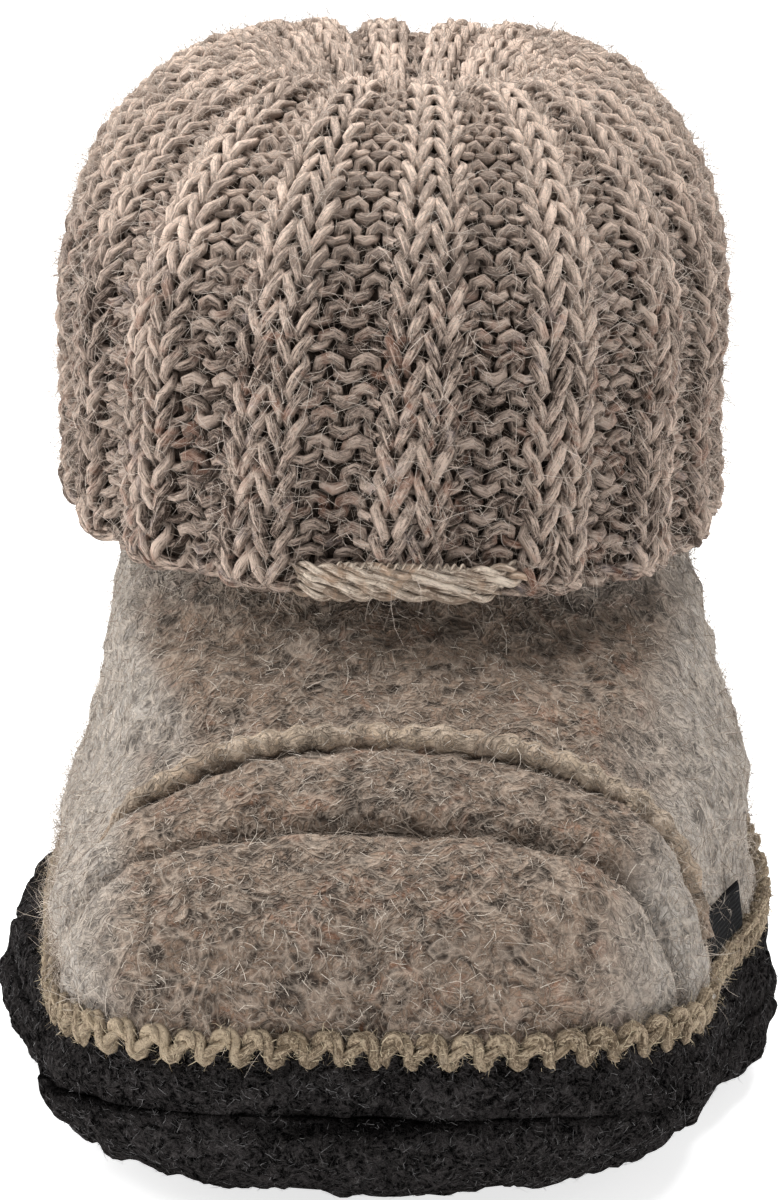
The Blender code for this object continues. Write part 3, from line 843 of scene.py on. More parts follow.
@dataclass(frozen=True)
class Fuzz:
    """Loose hairs that stand on a surface, as thin ribbons joined in one mesh."""

    count: int
    length: tuple[float, float]
    width: float
    lift: tuple[float, float]
    steps: int
    seed: int
    curl: float = 2.2
    dive: tuple[float, float] = (0.2, 1.1)
    tilt: float = 0.6
    taper: float = 0.7

    def grow(self, ground: Patch, weight: Reals = 1) -> Patch:
        """Return hairs rooted at random places of a patch.

        Args:
            ground: The surface that carries the hairs.
            weight: How densely each quad is covered, or one value for even cover.

        Returns:
            The joined ribbons, with a tone for each hair.
        """
        rng = np.random.default_rng(self.seed)
        chance = ground.areas() * weight
        picked = rng.choice(len(ground.quads), self.count, p=chance / chance.sum())
        corners = ground.points[ground.quads[picked]]
        share = rng.uniform(0, 1, (self.count, 2, 1))
        low = corners[:, 0] * (1 - share[:, 0]) + corners[:, 1] * share[:, 0]
        high = corners[:, 3] * (1 - share[:, 0]) + corners[:, 2] * share[:, 0]
        root = low * (1 - share[:, 1]) + high * share[:, 1]
        up = ground.normals()[picked]
        flat = rng.normal(size=(self.count, 3))
        flat = unit(flat - (flat * up).sum(axis=1, keepdims=True) * up)
        turned = np.cross(up, flat)
        lift = rng.uniform(*self.lift, (self.count, 1))
        length = rng.uniform(*self.length, (self.count, 1))
        bend = rng.normal(0, self.curl, (self.count, 1))
        dive = rng.uniform(*self.dive, (self.count, 1)) * lift
        t = np.linspace(0, 1, self.steps + 1)[None, :, None]
        heading = bend * (np.arange(self.steps) + 0.5) / self.steps
        run = flat[:, None] * np.cos(heading)[..., None] + turned[:, None] * np.sin(heading)[..., None]
        run = np.concatenate([np.zeros((self.count, 1, 3)), np.cumsum(run, axis=1) / self.steps], axis=1)
        rise = up[:, None] * (lift[:, None] * t - dive[:, None] * t * t)
        path = root[:, None] + length[:, None] * (run + rise)
        sideways = unit(turned + rng.normal(0, self.tilt, (self.count, 1)) * up)[:, None]
        half = self.width / 2 * (1 - self.taper * t)
        points = np.stack([path - sideways * half, path + sideways * half], axis=2)
        first = np.arange(self.count)[:, None] * (self.steps + 1) * 2 + 2 * np.arange(self.steps)
        quads = np.stack([first, first + 1, first + 3, first + 2], axis=-1).reshape(-1, 4)
        tone = np.repeat(rng.uniform(0, 1, self.count), (self.steps + 1) * 2)
        return Patch(points.reshape(-1, 3), quads, None, {"tone": tone})


@dataclass(frozen=True)
class Station:
    """One point of a profile across the toe: how far across it lies, and its height in millimetres."""

    across: float
    height: float


@dataclass
class FeltUpper:
    """The boiled-wool upper with the seam and tuck over its toe."""

    columns: int = 440
    rows: int = 112
    inner_columns: int = 160
    inner_rows: int = 24
    wall: float = 3 * MM
    gap: float = 0.15 * MM
    ridge_at_sides: tuple[float, float] = (13.3, 16)
    ridge_top: float = 18.1
    tuck_at_sides: tuple[float, float] = (8.1, 9)
    tuck_top: float = 11.9
    ridge_rise: float = 0.651
    strip: tuple[Station, ...] = (
        Station(-0.7, 0.5), Station(-0.32, 0.5), Station(-0.15, 0.1), Station(-0.06, -1.3),
        Station(0.01, -0.3), Station(0.08, 0.6), Station(0.2, 1.1), Station(0.45, 1.6), Station(0.68, 1.3),
        Station(0.8, 0.1), Station(0.88, 1), Station(0.95, 1.1), Station(1.06, 0.2), Station(1.3, 0),
    )
    strip_change: tuple[float, float] = (0.3, 0.8)
    ridge_fade: tuple[float, float] = (29 * MM, 39 * MM)
    tuck_fade: tuple[float, float] = (22 * MM, 30 * MM)
    outer_fade: tuple[float, float] = (14 * MM, 17 * MM)
    tuck_groove: tuple[float, float] = (-0.05, 0.06)
    seam_groove: tuple[float, float] = (0.79, 0.05)
    seam_depth: float = 0.7
    ridge_across: float = 0.91
    ridge_width: float = 0.09
    ridge_tan: float = 0.35
    ridge_turns: float = 0.22
    ridge_steps: int = 420
    ridge_sides: int = 8
    ridge_halvings: int = 24
    ridge_lift: float = 0.8 * MM
    ridge_radius: float = 1.4 * MM
    ridge_end: float = 0.2
    ridge_low: float = 0.65
    ridge_soft: tuple[float, float] = (16 * MM, 36 * MM)
    bead_pitch: float = 2.9 * MM
    bead_swell: float = 0.17
    bead_wander: float = 2
    bead_wander_size: float = 6 * MM
    knot_swell: float = 0.25
    knot_size: float = 2.2 * MM
    tan_share: float = 0.5
    tan_change: float = 0.35
    tan_low: float = 0.05
    tan_size: float = 3 * MM
    lump_sizes: tuple[float, ...] = (18 * MM, 8 * MM, 3.2 * MM, 1.9 * MM)
    lump_heights: tuple[float, ...] = (0.7 * MM, 0.4 * MM, 0.35 * MM, 0.3 * MM)
    painted_side_sheen: float = 0.9
    side_turn: tuple[float, float] = (0.35, 0.85)
    heel_pale: float = 0.6
    heel_span: tuple[float, float] = (10 * MM, 70 * MM)
    lining_pale: float = 0.2
    curls: Fuzz = Fuzz(19000, (0.9 * MM, 2.4 * MM), 0.08 * MM, (0.05, 0.35), steps=3, seed=5, curl=3)
    strays: Fuzz = Fuzz(10000, (1.5 * MM, 4.5 * MM), 0.065 * MM, (0.4, 1.2), steps=3, seed=6, curl=2)
    stray_floor: float = 0.35
    stray_turn: tuple[float, float] = (0.5, 0.95)
    beard: float = 3
    beard_at: float = 19 * MM
    beard_span: float = 6 * MM
    beard_turn: float = 0.4

    def across(self, points: np.ndarray) -> np.ndarray:
        """Return where points lie between the tuck, at 0, and the ridge, at 1."""
        rise = points[..., 2] / LAST.instep_height / self.ridge_rise
        at = LAST.at(points[..., 1]) * 100
        outer = points[..., 0] > 0
        tuck = between(np.where(outer, *self.tuck_at_sides), self.tuck_top, rise)
        ridge = between(np.where(outer, *self.ridge_at_sides), self.ridge_top, rise)
        return (at - tuck) / (ridge - tuck)

    def fade(self, points: np.ndarray, inner_fade: tuple[float, float]) -> np.ndarray:
        """Return how strongly the ridge or tuck shows; on the outer side both run down to the stitching."""
        inner = smooth(points[..., 2], *inner_fade)
        outer = smooth(points[..., 2], *self.outer_fade)
        return np.where(points[..., 0] > 0, outer, inner)

    def ridge(self, wall: Loft) -> Patch:
        """Return the beaded roll of felt that stands on the toe seam."""
        turns = np.linspace(-self.ridge_turns, self.ridge_turns, self.ridge_steps)
        foot = wall.row_at(turns, SEAM, self.gap)
        low = foot.copy()
        high = np.full(self.ridge_steps, float(COLLAR))
        for _ in range(self.ridge_halvings):
            middle = (low + high) / 2
            under = self.across(wall.point(turns, middle)) < self.ridge_across
            low = np.where(under, middle, low)
            high = np.where(under, high, middle)
        kept = low > foot
        turns, low = turns[kept], low[kept]
        path = wall.shifted(turns, low, np.full(len(turns), self.ridge_lift))
        fade = self.fade(path, self.ridge_fade)
        along = np.concatenate([[0], np.cumsum(np.linalg.norm(np.diff(path, axis=0), axis=1))])
        wander = self.bead_wander * lumps(path, self.bead_wander_size, Seed.WANDER)
        beads = self.bead_swell * np.sin(2 * math.pi * along / self.bead_pitch + wander)
        beads = beads + self.knot_swell * lumps(path, self.knot_size, Seed.KNOTS)
        soft = smooth(path[:, 2], *self.ridge_soft)
        radius = self.ridge_radius * between(self.ridge_end, 1, fade) * between(self.ridge_low, 1, soft)
        normal = wall.normal(turns, low)
        path = path - normal * (self.ridge_lift * (1 - fade))[:, None]
        tan = self.tan_share + self.tan_change * lumps(path, self.tan_size, Seed.TAN)
        tan = tan * between(self.tan_low, 1, soft)
        return sweep(path[None], normal[None], (radius * (1 + beads))[None], self.ridge_sides, tan=tan[None])

    def relief(self, points: np.ndarray) -> tuple[np.ndarray, dict[str, np.ndarray]]:
        """Return how far the felt stands off the plain wall, and its colour values with painted shade in the
        grooves.
        """
        across = self.across(points)
        ridge_fade = self.fade(points, self.ridge_fade)
        tuck_fade = self.fade(points, self.tuck_fade)
        table = np.array([(station.across, station.height * MM) for station in self.strip])
        strength = between(tuck_fade, ridge_fade, smooth(across, *self.strip_change))
        height = np.interp(across, table[:, 0], table[:, 1]) * strength
        height = height + layered_lumps(points, self.lump_sizes, self.lump_heights, Seed.UPPER)
        ridge = bell(across, self.ridge_across, self.ridge_width) * ridge_fade
        # Painted shade along the tuck crease and along the groove under the ridge.
        groove = bell(across, *self.tuck_groove) * tuck_fade
        groove = groove + self.seam_depth * bell(across, *self.seam_groove) * ridge_fade
        return height, {"tan": self.ridge_tan * ridge, "deep": np.clip(groove, 0, 1)}

    def skin(self, wall: Loft) -> Patch:
        """Return the outer face with its relief, the seam and the tuck."""
        turns, rows = self.rows_of_wall(wall, self.columns, self.rows)
        plain = wall.point(turns, rows)
        normals = wall.normal(turns, rows)
        height, values = self.relief(plain)
        # Painted sheen: sides that face across mix toward the pale colour as if lit at a graze; toward the
        # heel this fades to an even pale tint.
        side = self.painted_side_sheen * smooth(np.abs(normals[..., 0]), *self.side_turn)
        values["pale"] = between(side, self.heel_pale, smooth(plain[..., 1], *self.heel_span))
        face = Patch.grid(plain + normals * height[..., None], **values)
        return Patch.join(face, self.ridge(wall))

    def rows_of_wall(self, wall: Loft, columns: int, count: int) -> tuple[np.ndarray, np.ndarray]:
        """Return a grid of turns and rows from the joint with the sole up to the collar."""
        turns = np.arange(columns) / columns
        rows = between(wall.row_at(turns, SEAM, self.gap), COLLAR, np.linspace(0, 1, count)[:, None])
        return np.broadcast_to(turns, rows.shape), rows

    def build(self, wall: Loft) -> None:
        """Make the felt wall and its hairs."""
        outside = self.skin(wall)
        turns, rows = self.rows_of_wall(wall, self.inner_columns, self.inner_rows)
        lining = Patch.grid(wall.shifted(turns, rows, -self.wall)[::-1], pale=self.lining_pale)
        material = UPPER_FINISH.build()
        add_piece("upper_felt", Patch.join(outside, lining), material, ("upper", "toe_seam"))
        hair = UPPER_HAIR.build()
        add_piece("upper_curls", self.curls.grow(outside), hair)
        facing = outside.normals()[:, 0]
        height = outside.points[outside.quads].mean(axis=1)[:, 2]
        cover = self.stray_floor + smooth(np.abs(facing), *self.stray_turn)
        beard = self.beard * bell(height, self.beard_at, self.beard_span) * (facing < -self.beard_turn)
        add_piece("upper_strays", self.strays.grow(outside, cover * (1 + beard)), hair)


def drawn_in(ring: np.ndarray, distance: Reals) -> np.ndarray:
    """Return a ring moved toward the inside of the shoe in plan."""
    along = np.roll(ring, -1, axis=0) - np.roll(ring, 1, axis=0)
    away = np.stack([along[:, 1], -along[:, 0], np.zeros(len(ring))], axis=1)
    return ring - unit(away) * distance


def level(ring: np.ndarray, z: Reals) -> np.ndarray:
    """Return a ring laid level at height z, following the toe spring."""
    return np.stack([ring[:, 0], ring[:, 1], z + LAST.spring(ring[:, 1])], axis=1)


def cap(ring: np.ndarray, z: float, shares: tuple[float, ...]) -> list[np.ndarray]:
    """Return level rings that close a ring toward the shoe's middle line.

    Args:
        ring: The ring to close.
        z: The height of the new rings.
        shares: How wide each new ring is, as a share of the ring.

    Returns:
        One ring for each share.
    """
    spine = ring * np.array([0, MIDDLE_LINE, 0])
    return [level(between(spine, ring, share), z) for share in shares]


@dataclass
class FeltSole:
    """The thick charcoal outsole and the rand that stands on it."""

    columns: int = 520
    edge_rows: int = 28
    rand_rows: int = 16
    edge_height: float = 9.6 * MM
    bevel: tuple[float, float] = (0.2 * MM, 1.1 * MM)
    gap: float = 0.3 * MM
    rand_wall: float = 5 * MM
    rand_dip: float = 1 * MM
    cap_shares: tuple[float, ...] = (0.15, 0.4, 0.65, 0.85, 0.95, 0.985)
    lump_sizes: tuple[float, ...] = (14 * MM, 4 * MM, 1.9 * MM)
    lump_heights: tuple[float, ...] = (0.45 * MM, 0.5 * MM, 0.65 * MM)
    lump_start: float = 1.5 * MM
    notch: float = 2 * MM
    notch_size: float = 3.5 * MM
    notch_top: float = 6 * MM
    crease_size: float = 15 * MM
    crease_swing: float = 1.5 * MM
    crease_reach: tuple[float, float] = (0.4, 0.2)
    crease_open: float = 0.25
    crease_change: float = 0.9
    front_open: float = 0.6
    front_crease: float = 0.05
    outsole_shades: tuple[float, ...] = (0.15, 0.35, 0.6, 0.85, 1, 1, 1)
    rand_shades: tuple[float, ...] = (0.9, 0.65, 0.4, 0.15)
    hairs: Fuzz = Fuzz(9000, (0.5 * MM, 1.5 * MM), 0.05 * MM, (0.1, 0.6), steps=2, seed=9)
    hair_turn: float = 0.9

    def rough(self, points: np.ndarray, normals: np.ndarray, fade: Reals = 1) -> np.ndarray:
        """Return points moved out and in by the felt's lumps."""
        height = layered_lumps(points, self.lump_sizes, self.lump_heights, Seed.SOLE)
        return points + normals * (height * fade)[..., None]

    def outsole(self, sole: Loft, turns: np.ndarray, swing: np.ndarray, parted: np.ndarray) -> Patch:
        """Return the tread, the ragged edge and the ledge under the rand.

        Args:
            sole: The outsole's wall.
            turns: The turns of the columns.
            swing: How far the crease under the rand runs up or down at each turn.
            parted: How far the crease is open at each turn, from 0 to 1.

        Returns:
            The outsole's mesh, with painted shade in the crease.
        """
        rows = np.linspace(0, len(SOLE_RINGS) - 1, self.edge_rows)[:, None]
        grid = np.broadcast_to(turns, (self.edge_rows, self.columns))
        plain = sole.point(grid, rows)
        edge = self.rough(plain, sole.normal(grid, rows), smooth(plain[..., 2], 0, self.lump_start))
        edge[..., 2] = np.maximum(edge[..., 2], plain[0, :, 2])
        notch = self.notch * np.clip(lumps(plain[0], self.notch_size, Seed.NOTCHES), 0, None)
        edge[..., 2] += notch * smooth(plain[..., 2], self.notch_top, 0)
        edge[..., 2] += swing * smooth(np.linspace(0, 1, self.edge_rows), self.crease_reach[0], 1)[:, None]
        top = level(drawn_in(plain[-1], between(*self.bevel, parted[:, None])), self.edge_height)
        inner = level(drawn_in(top, self.rand_wall), self.edge_height)
        top[:, 2] += swing
        tread = cap(plain[0], plain[0, :, 2].min(), self.cap_shares)
        points = np.concatenate([np.stack(tread), edge, top[None], inner[None]])
        # Painted shade: the top rows darken where the crease under the rand is open.
        deep = np.zeros(points.shape[:2])
        deep[-len(self.outsole_shades):] = parted * np.array(self.outsole_shades)[:, None]
        return Patch.grid(points, deep=deep)

    def rand(self, wall: Loft, turns: np.ndarray, swing: np.ndarray, parted: np.ndarray) -> Patch:
        """Return the band of felt between the crease and the stitching.

        Args:
            wall: The shoe's wall.
            turns: The turns of the columns.
            swing: How far the crease under the rand runs up or down at each turn.
            parted: How far the crease is open at each turn, from 0 to 1.

        Returns:
            The rand's mesh, with painted shade in the crease.
        """
        top_row = wall.row_at(turns, SEAM, -self.gap / 2)
        share = np.linspace(0, 1, self.rand_rows)[:, None]
        rows = top_row * share
        grid = np.broadcast_to(turns, rows.shape)
        outside = self.rough(wall.point(grid, rows), wall.normal(grid, rows))
        outside[..., 2] += swing * smooth(1 - share, self.crease_reach[1], 1)
        foot = level(outside[0], self.edge_height + self.gap * parted)
        foot[:, 2] += swing
        inner_top = wall.shifted(turns, top_row, -self.rand_wall)
        inner_foot = level(drawn_in(foot, self.rand_wall), self.edge_height - self.rand_dip)
        points = np.concatenate([inner_foot[None], foot[None], outside[1:], inner_top[None]])
        # Painted shade: the rand's foot darkens where the crease is open.
        deep = np.zeros(points.shape[:2])
        deep[1 : len(self.rand_shades) + 1] = parted * np.array(self.rand_shades)[:, None]
        return Patch.grid(points, deep=deep)

    def build(self, sole: Loft, wall: Loft) -> None:
        """Make the outsole, the rand and their hairs."""
        turns = np.arange(self.columns) / self.columns
        rim = sole.point(turns, np.full(self.columns, len(SOLE_RINGS) - 1.0))
        swing = self.crease_swing * lumps(rim, self.crease_size, Seed.CREASE)
        front = self.front_open * bell((turns + 0.5) % 1, 0.5, self.front_crease)
        parted = self.crease_open + self.crease_change * lumps(rim, self.crease_size, Seed.PARTING) + front
        parted = np.clip(parted, 0, 1)
        outsole = self.outsole(sole, turns, swing, parted)
        rand = self.rand(wall, turns, swing, parted)
        material = SOLE_FINISH.build()
        add_piece("outsole_felt", outsole, material, ("outsole",))
        add_piece("rand_felt", rand, material, ("rand",))
        ground = Patch.join(outsole, rand)
        outward = np.abs(ground.normals()[:, 2]) < self.hair_turn
        add_piece("sole_hair", self.hairs.grow(ground, outward), SOLE_HAIR.build())


@dataclass
class Insole:
    """The felt insole on the outsole's floor."""

    columns: int = 240
    floor: float = 9.9 * MM
    thickness: float = 3 * MM
    edge_share: float = 0.8
    inset: float = 5.7 * MM
    cap_shares: tuple[float, ...] = (0.985, 0.95, 0.9, 0.8, 0.65, 0.5, 0.35, 0.2, 0.08)
    lump_size: float = 7 * MM
    lump_height: float = 0.25 * MM

    def build(self, wall: Loft) -> None:
        """Make a slab with a soft upper edge."""
        turns = np.arange(self.columns) / self.columns
        outline = drawn_in(wall.point(turns, np.zeros(self.columns)), self.inset)
        rows = [level(outline, self.floor), level(outline, self.floor + self.edge_share * self.thickness)]
        for row in cap(outline, self.floor + self.thickness, self.cap_shares):
            row[:, 2] += self.lump_height * (lumps(row, self.lump_size, Seed.INSOLE) - 1)
            rows.append(row)
        add_piece("insole_felt", Patch.grid(np.stack(rows)), INSOLE_FINISH.build(), ("insole",))


@dataclass
class EdgeStitching:
    """Cream yarn laid in arches over the joint of rand and upper."""

    stitches: int = 123
    steps: int = 18
    sides: int = 5
    below: float = 1.3 * MM
    above: float = 1.2 * MM
    arch_power: float = 1.5
    ply: float = 0.6 * MM
    ply_offset: float = 0.42 * MM
    twists: float = 1.5
    lay: float = 0.75 * MM
    lay_ends: float = -0.2
    lay_arch: float = 1.3
    height_jitter: float = 0.06
    lean_jitter: float = 0.05
    shade: float = 0.5
    seed: int = 17
    hairs: Fuzz = Fuzz(14000, (0.5 * MM, 1.3 * MM), 0.09 * MM, (0.4, 1.5), steps=2, seed=23)

    def build(self, wall: Loft) -> None:
        """Make the two plies of the yarn along every arch."""
        rng = np.random.default_rng(self.seed)
        s = np.arange(self.stitches * self.steps + 1) / self.steps
        phase = s % 1
        wobble = rng.normal(0, 1, (3, self.stitches))
        index = s.astype(int) % self.stitches
        arch = np.sin(math.pi * phase) ** self.arch_power
        share = arch * (1 + self.height_jitter * wobble[0, index] * arch)
        turns = (s + self.lean_jitter * wobble[1, index] * arch) / self.stitches
        low = wall.row_at(turns, SEAM, -self.below)
        high = wall.row_at(turns, SEAM, self.above)
        rows = between(low, high, share)
        out = self.lay * (self.lay_ends + self.lay_arch * np.sin(math.pi * phase))
        normal = wall.normal(turns, rows)
        middle = wall.point(turns, rows) + normal * out[:, None]
        twist = 2 * math.pi * self.twists * s
        plies = [middle + self.ply_offset * wound(middle, normal, twist + start) for start in (0, math.pi)]
        tone = np.repeat(wobble[2], self.steps)
        tone = np.append(tone, tone[0])
        # Painted shade: the yarn darkens toward the ends of each arch, where it dives into the felt.
        deep = self.shade * (1 - arch) ** 2
        yarn = sweep(np.stack(plies), np.stack([normal, normal]), self.ply, self.sides, tone=tone, deep=deep)
        add_piece("edge_stitches", yarn, STITCH_FINISH.build(), ("stitching",))
        add_piece("stitch_hair", self.hairs.grow(yarn), STITCH_HAIR.build())


@dataclass
class SideTab:
    """The plain black tape tab on the outer side, just above the stitching."""

    start: float = 16.4
    end: float = 24.4
    foot: float = 1.9 * MM
    head: float = 6.4 * MM
    lift: float = 0.5 * MM
    thickness: float = 0.7 * MM
    columns: int = 40
    rows: int = 24
    edge_power: float = 0.3
    face_power: float = 0.5
    end_power: float = 12
    end_share: float = 0.15

    def build(self, wall: Loft) -> None:
        """Make the tape with rounded edges."""
        dense = np.arange(Loft.dense // 2) / Loft.dense
        at = LAST.at(wall.point(dense, np.full(len(dense), float(SEAM)))[:, 1]) * 100
        turns = np.linspace(*np.interp((self.start, self.end), at, dense), self.columns)
        angle = np.linspace(0, 2 * math.pi, self.rows, endpoint=False)[:, None]
        share = 0.5 - 0.5 * np.sign(np.cos(angle)) * np.abs(np.cos(angle)) ** self.edge_power
        rows = between(wall.row_at(turns, SEAM, self.foot), wall.row_at(turns, SEAM, self.head), share)
        half = self.thickness / 2
        face = half * np.sign(np.sin(angle)) * np.abs(np.sin(angle)) ** self.face_power
        ends = 1 - np.abs(np.linspace(-1, 1, self.columns)) ** self.end_power
        away = self.lift + half + face * between(self.end_share, 1, ends)
        points = wall.shifted(np.broadcast_to(turns, rows.shape), rows, away)
        tape = Patch.grid(np.moveaxis(points, 0, 1))
        add_piece("side_tape", tape, TAPE_FINISH.build(), ("side_tab",))


@dataclass
class KnitCuff:
    """The turned-down cuff in two-by-two rib, knitted loop by loop."""

    wales: int = 80
    courses: int = 40
    outer_courses: int = 25
    knit_courses: int = 29
    first_course: float = 0.85
    steps: int = 12
    inner_steps: int = 8
    sides: int = 5
    table_rows: int = 400
    table_turns: int = 48
    table_courses: int = 600
    rib: int = 4
    rib_shift: float = 0.63
    rib_edge: float = 1.7
    rib_peak: float = 0.9 * MM
    rib_depth: tuple[float, float] = (1 * MM, 0.7 * MM)
    rib_spread: float = 0.3
    sink: float = 1.6 * MM
    lean: float = 0.054
    lean_course: float = 8.4
    yarn: float = 0.66 * MM
    yarn_swell: tuple[float, float] = (1.08, 0.68)
    yarn_slim: float = 0.3
    loop_reach: tuple[float, float] = (0.85, 0.95)
    loop_lean: tuple[float, float] = (0.21, 0.29)
    loop_depth: float = 0.7 * MM
    loop_change: float = 0.22
    course_jitter: float = 0.07
    width_jitter: float = 0.05
    depth_jitter: float = 0.14 * MM
    yarn_jitter: float = 0.07
    knit_shade: float = 0.6
    purl_shade: tuple[float, float] = (0.5, 0.25)
    painted_top_light: float = 1
    painted_top_span: tuple[float, float] = (74 * MM, 91 * MM)
    backing: float = 1.95 * MM
    backing_rows: int = 34
    backing_edge: float = 0.1
    inner_wall: float = 3.6 * MM
    inner_rows: tuple[float, ...] = (9, 8, 7.5, 6.5, 6, 5, 4, 3, 1.6, 0)
    hem_strands: int = 2
    hem_steps: int = 9
    hem_sides: int = 6
    hem_radius: float = 0.62 * MM
    hem_lay: float = 0.8
    hem_twist: float = 44
    hem_wave: float = 0.5
    hem_wave_pace: float = 0.37
    hem_course: float = 0.2
    hem_out: float = -0.1 * MM
    bind_ropes: int = 4
    bind_steps: int = 60
    bind_sides: int = 7
    bind_twists: float = 4
    bind_swing: float = 1.2
    bind_middle: float = 0.2
    bind_reach: float = 3.2
    bind_short: float = 0.85
    bind_shift: float = 0.25
    bind_course: float = 0.12
    bind_spacing: float = 0.3
    bind_wander: float = 0.08
    bind_lift: float = 0.9 * MM
    bind_drop: float = 1.8 * MM
    bind_end: float = 6
    bind_radius: float = 0.42 * MM
    bind_swell: float = 1.15
    bind_taper: float = 0.6
    thread_steps: int = 240
    thread_sides: int = 4
    thread_reach: float = 1.6
    thread_course: float = 1.3
    thread_stitches: float = 5
    thread_swing: float = 0.1
    thread_lift: float = 1.3 * MM
    thread_bob: float = 0.25 * MM
    thread_radius: float = 0.14 * MM
    hairs: Fuzz = Fuzz(32000, (1.2 * MM, 5 * MM), 0.06 * MM, (0.2, 2), steps=3, seed=43, curl=2.4)
    heart: tuple[float, float, float] = (0, 20 * MM, 62 * MM)
    seed: int = 41
    row_table: np.ndarray | None = None
    width_table: np.ndarray | None = None

    def measure(self, knit: Loft) -> None:
        """Work out the loft row and stitch width at each course, for even courses along the wall."""
        rows = np.linspace(0, ROOT, self.table_rows)
        turns = np.arange(self.table_turns) / self.table_turns
        points = knit.point(turns[None, :], rows[:, None])
        length = np.linalg.norm(np.diff(points, axis=0), axis=-1).mean(axis=1)
        along = np.concatenate([[0], np.cumsum(length)])
        courses = np.linspace(0, self.courses + 1, self.table_courses)
        course = along[-1] / (self.courses + 1)
        self.row_table = np.stack([courses, np.interp(courses * course, along, rows)])
        around = np.linalg.norm(points - np.roll(points, 1, axis=1), axis=-1).sum(axis=1)
        self.width_table = np.stack([rows, around / self.wales])
        LOG.info("cuff wall %.1f mm, course %.2f mm", along[-1] / MM, course / MM)

    def row(self, course: Reals) -> np.ndarray:
        """Return the loft row of a course."""
        return np.interp(course, *self.row_table)

    def gather(self, course: Reals) -> np.ndarray:
        """Return how far the knit is drawn together at a course, from 0 at the hem to 1 at the throat."""
        width = np.interp(self.row(course), *self.width_table)
        widest = self.width_table[1].max()
        return np.clip((widest - width) / (widest - self.width_table[1].min()), 0, 1)

    def rib_wave(self, s: np.ndarray) -> np.ndarray:
        """Return the rib relief at a stitch count, from 1 on a rib to -1 between two."""
        wave = np.cos(2 * math.pi * (s - 1) / self.rib)
        return np.tanh(self.rib_edge * wave) / math.tanh(self.rib_edge)

    def spot(
        self, knit: Loft, s: np.ndarray, course: Reals, out: Reals
    ) -> tuple[np.ndarray, np.ndarray]:
        """Return the place and normal at a stitch count, a course and a distance off the rib's surface."""
        gather = self.gather(course)
        phase = 2 * math.pi * (s - 1) / self.rib
        turn = s - 1 + self.rib_shift + self.lean * (course - self.lean_course)
        turn = (turn + self.rib_spread * gather * np.sin(phase)) / self.wales
        row = self.row(course)
        relief = self.rib_peak + between(*self.rib_depth, gather) * (self.rib_wave(s) - 1) - self.sink
        normal = knit.normal(turn, row)
        return knit.point(turn, row) + normal * (relief + out)[..., None], normal

    def loops(self, knit: Loft, courses: np.ndarray, steps: int, rng: np.random.Generator) -> Patch:
        """Return the yarn of some courses.

        Args:
            knit: The cuff's wall.
            courses: The courses to make.
            steps: Points along each stitch.
            rng: The random numbers for the loops' small differences.

        Returns:
            The joined yarns.
        """
        s = np.arange(self.wales * steps + 1) / steps
        s = np.broadcast_to(s, (len(courses), len(s)))
        index = np.floor(s).astype(int)
        share = s - index
        blend = smooth(share, 0, 1)
        yarn = np.arange(len(courses))[:, None]
        jitter = rng.normal(0, 1, (5, len(courses), self.wales))

        def eased(values: np.ndarray) -> np.ndarray:
            """Return each stitch's value, eased from one stitch to the next."""
            return between(values[yarn, index % self.wales], values[yarn, (index + 1) % self.wales], blend)

        kinds = np.where(np.arange(self.wales) % self.rib < self.rib // 2, 1.0, -1.0)
        before, here, after = (kinds[(index + step) % self.wales] for step in (-1, 0, 1))
        start = between(before, here, smooth(share, -self.loop_change, self.loop_change))
        end = between(here, after, smooth(share, 1 - self.loop_change, 1 + self.loop_change))
        side = np.where(share > 0.5, end, start)
        turn = 2 * math.pi * share
        knitted = smooth(side, -1, 1)
        reach = between(*self.loop_reach, knitted)
        course = courses[:, None] - reach * np.cos(turn) + self.course_jitter * eased(jitter[0])
        lean = between(*self.loop_lean, knitted)
        width = s + lean * np.sin(2 * turn) + self.width_jitter * eased(jitter[1])
        out = self.depth_jitter * eased(jitter[2]) - side * self.loop_depth * np.cos(2 * turn)
        paths, normals = self.spot(knit, width, course, out)
        lying = np.clip(0.5 + 0.5 * np.cos(2 * turn) * side, 0, 1)
        radius = self.yarn * between(*self.yarn_swell, lying) * (1 - self.yarn_slim * self.gather(course))
        radius = radius * (1 + self.yarn_jitter * eased(jitter[3]))
        # Painted shade: knit loops darken where they lie deepest, and the purl loops in the rib's troughs
        # darken all along.
        deep = self.knit_shade * lying * (side > 0) + between(*self.purl_shade, lying) * (side < 0)
        # Painted top light: the yarn turns paler toward the top of the cuff.
        pale = self.painted_top_light * smooth(paths[..., 2], *self.painted_top_span)
        return sweep(paths, normals, radius, self.sides, tone=eased(jitter[4]), deep=deep, pale=pale)

    def hem(self, knit: Loft, rng: np.random.Generator) -> Patch:
        """Return the twisted strands that bind off the hem."""
        s = np.arange(self.wales * self.hem_steps + 1) / self.hem_steps
        path, normal = self.spot(knit, s, self.hem_course, self.hem_out)
        strands = []
        for k in range(self.hem_strands):
            angle = 2 * math.pi * (self.hem_twist * s / self.wales + k / self.hem_strands)
            angle = angle + self.hem_wave * np.sin(angle * self.hem_wave_pace + k)
            strands.append(path + self.hem_lay * self.hem_radius * wound(path, normal, angle))
        tone = np.repeat(rng.normal(0, 1, (self.hem_strands, self.wales)), self.hem_steps, axis=1)
        tone = np.concatenate([tone, tone[:, :1]], axis=1)
        normals = np.broadcast_to(normal, (self.hem_strands, *normal.shape))
        return sweep(np.stack(strands), normals, self.hem_radius, self.hem_sides, tone=tone)

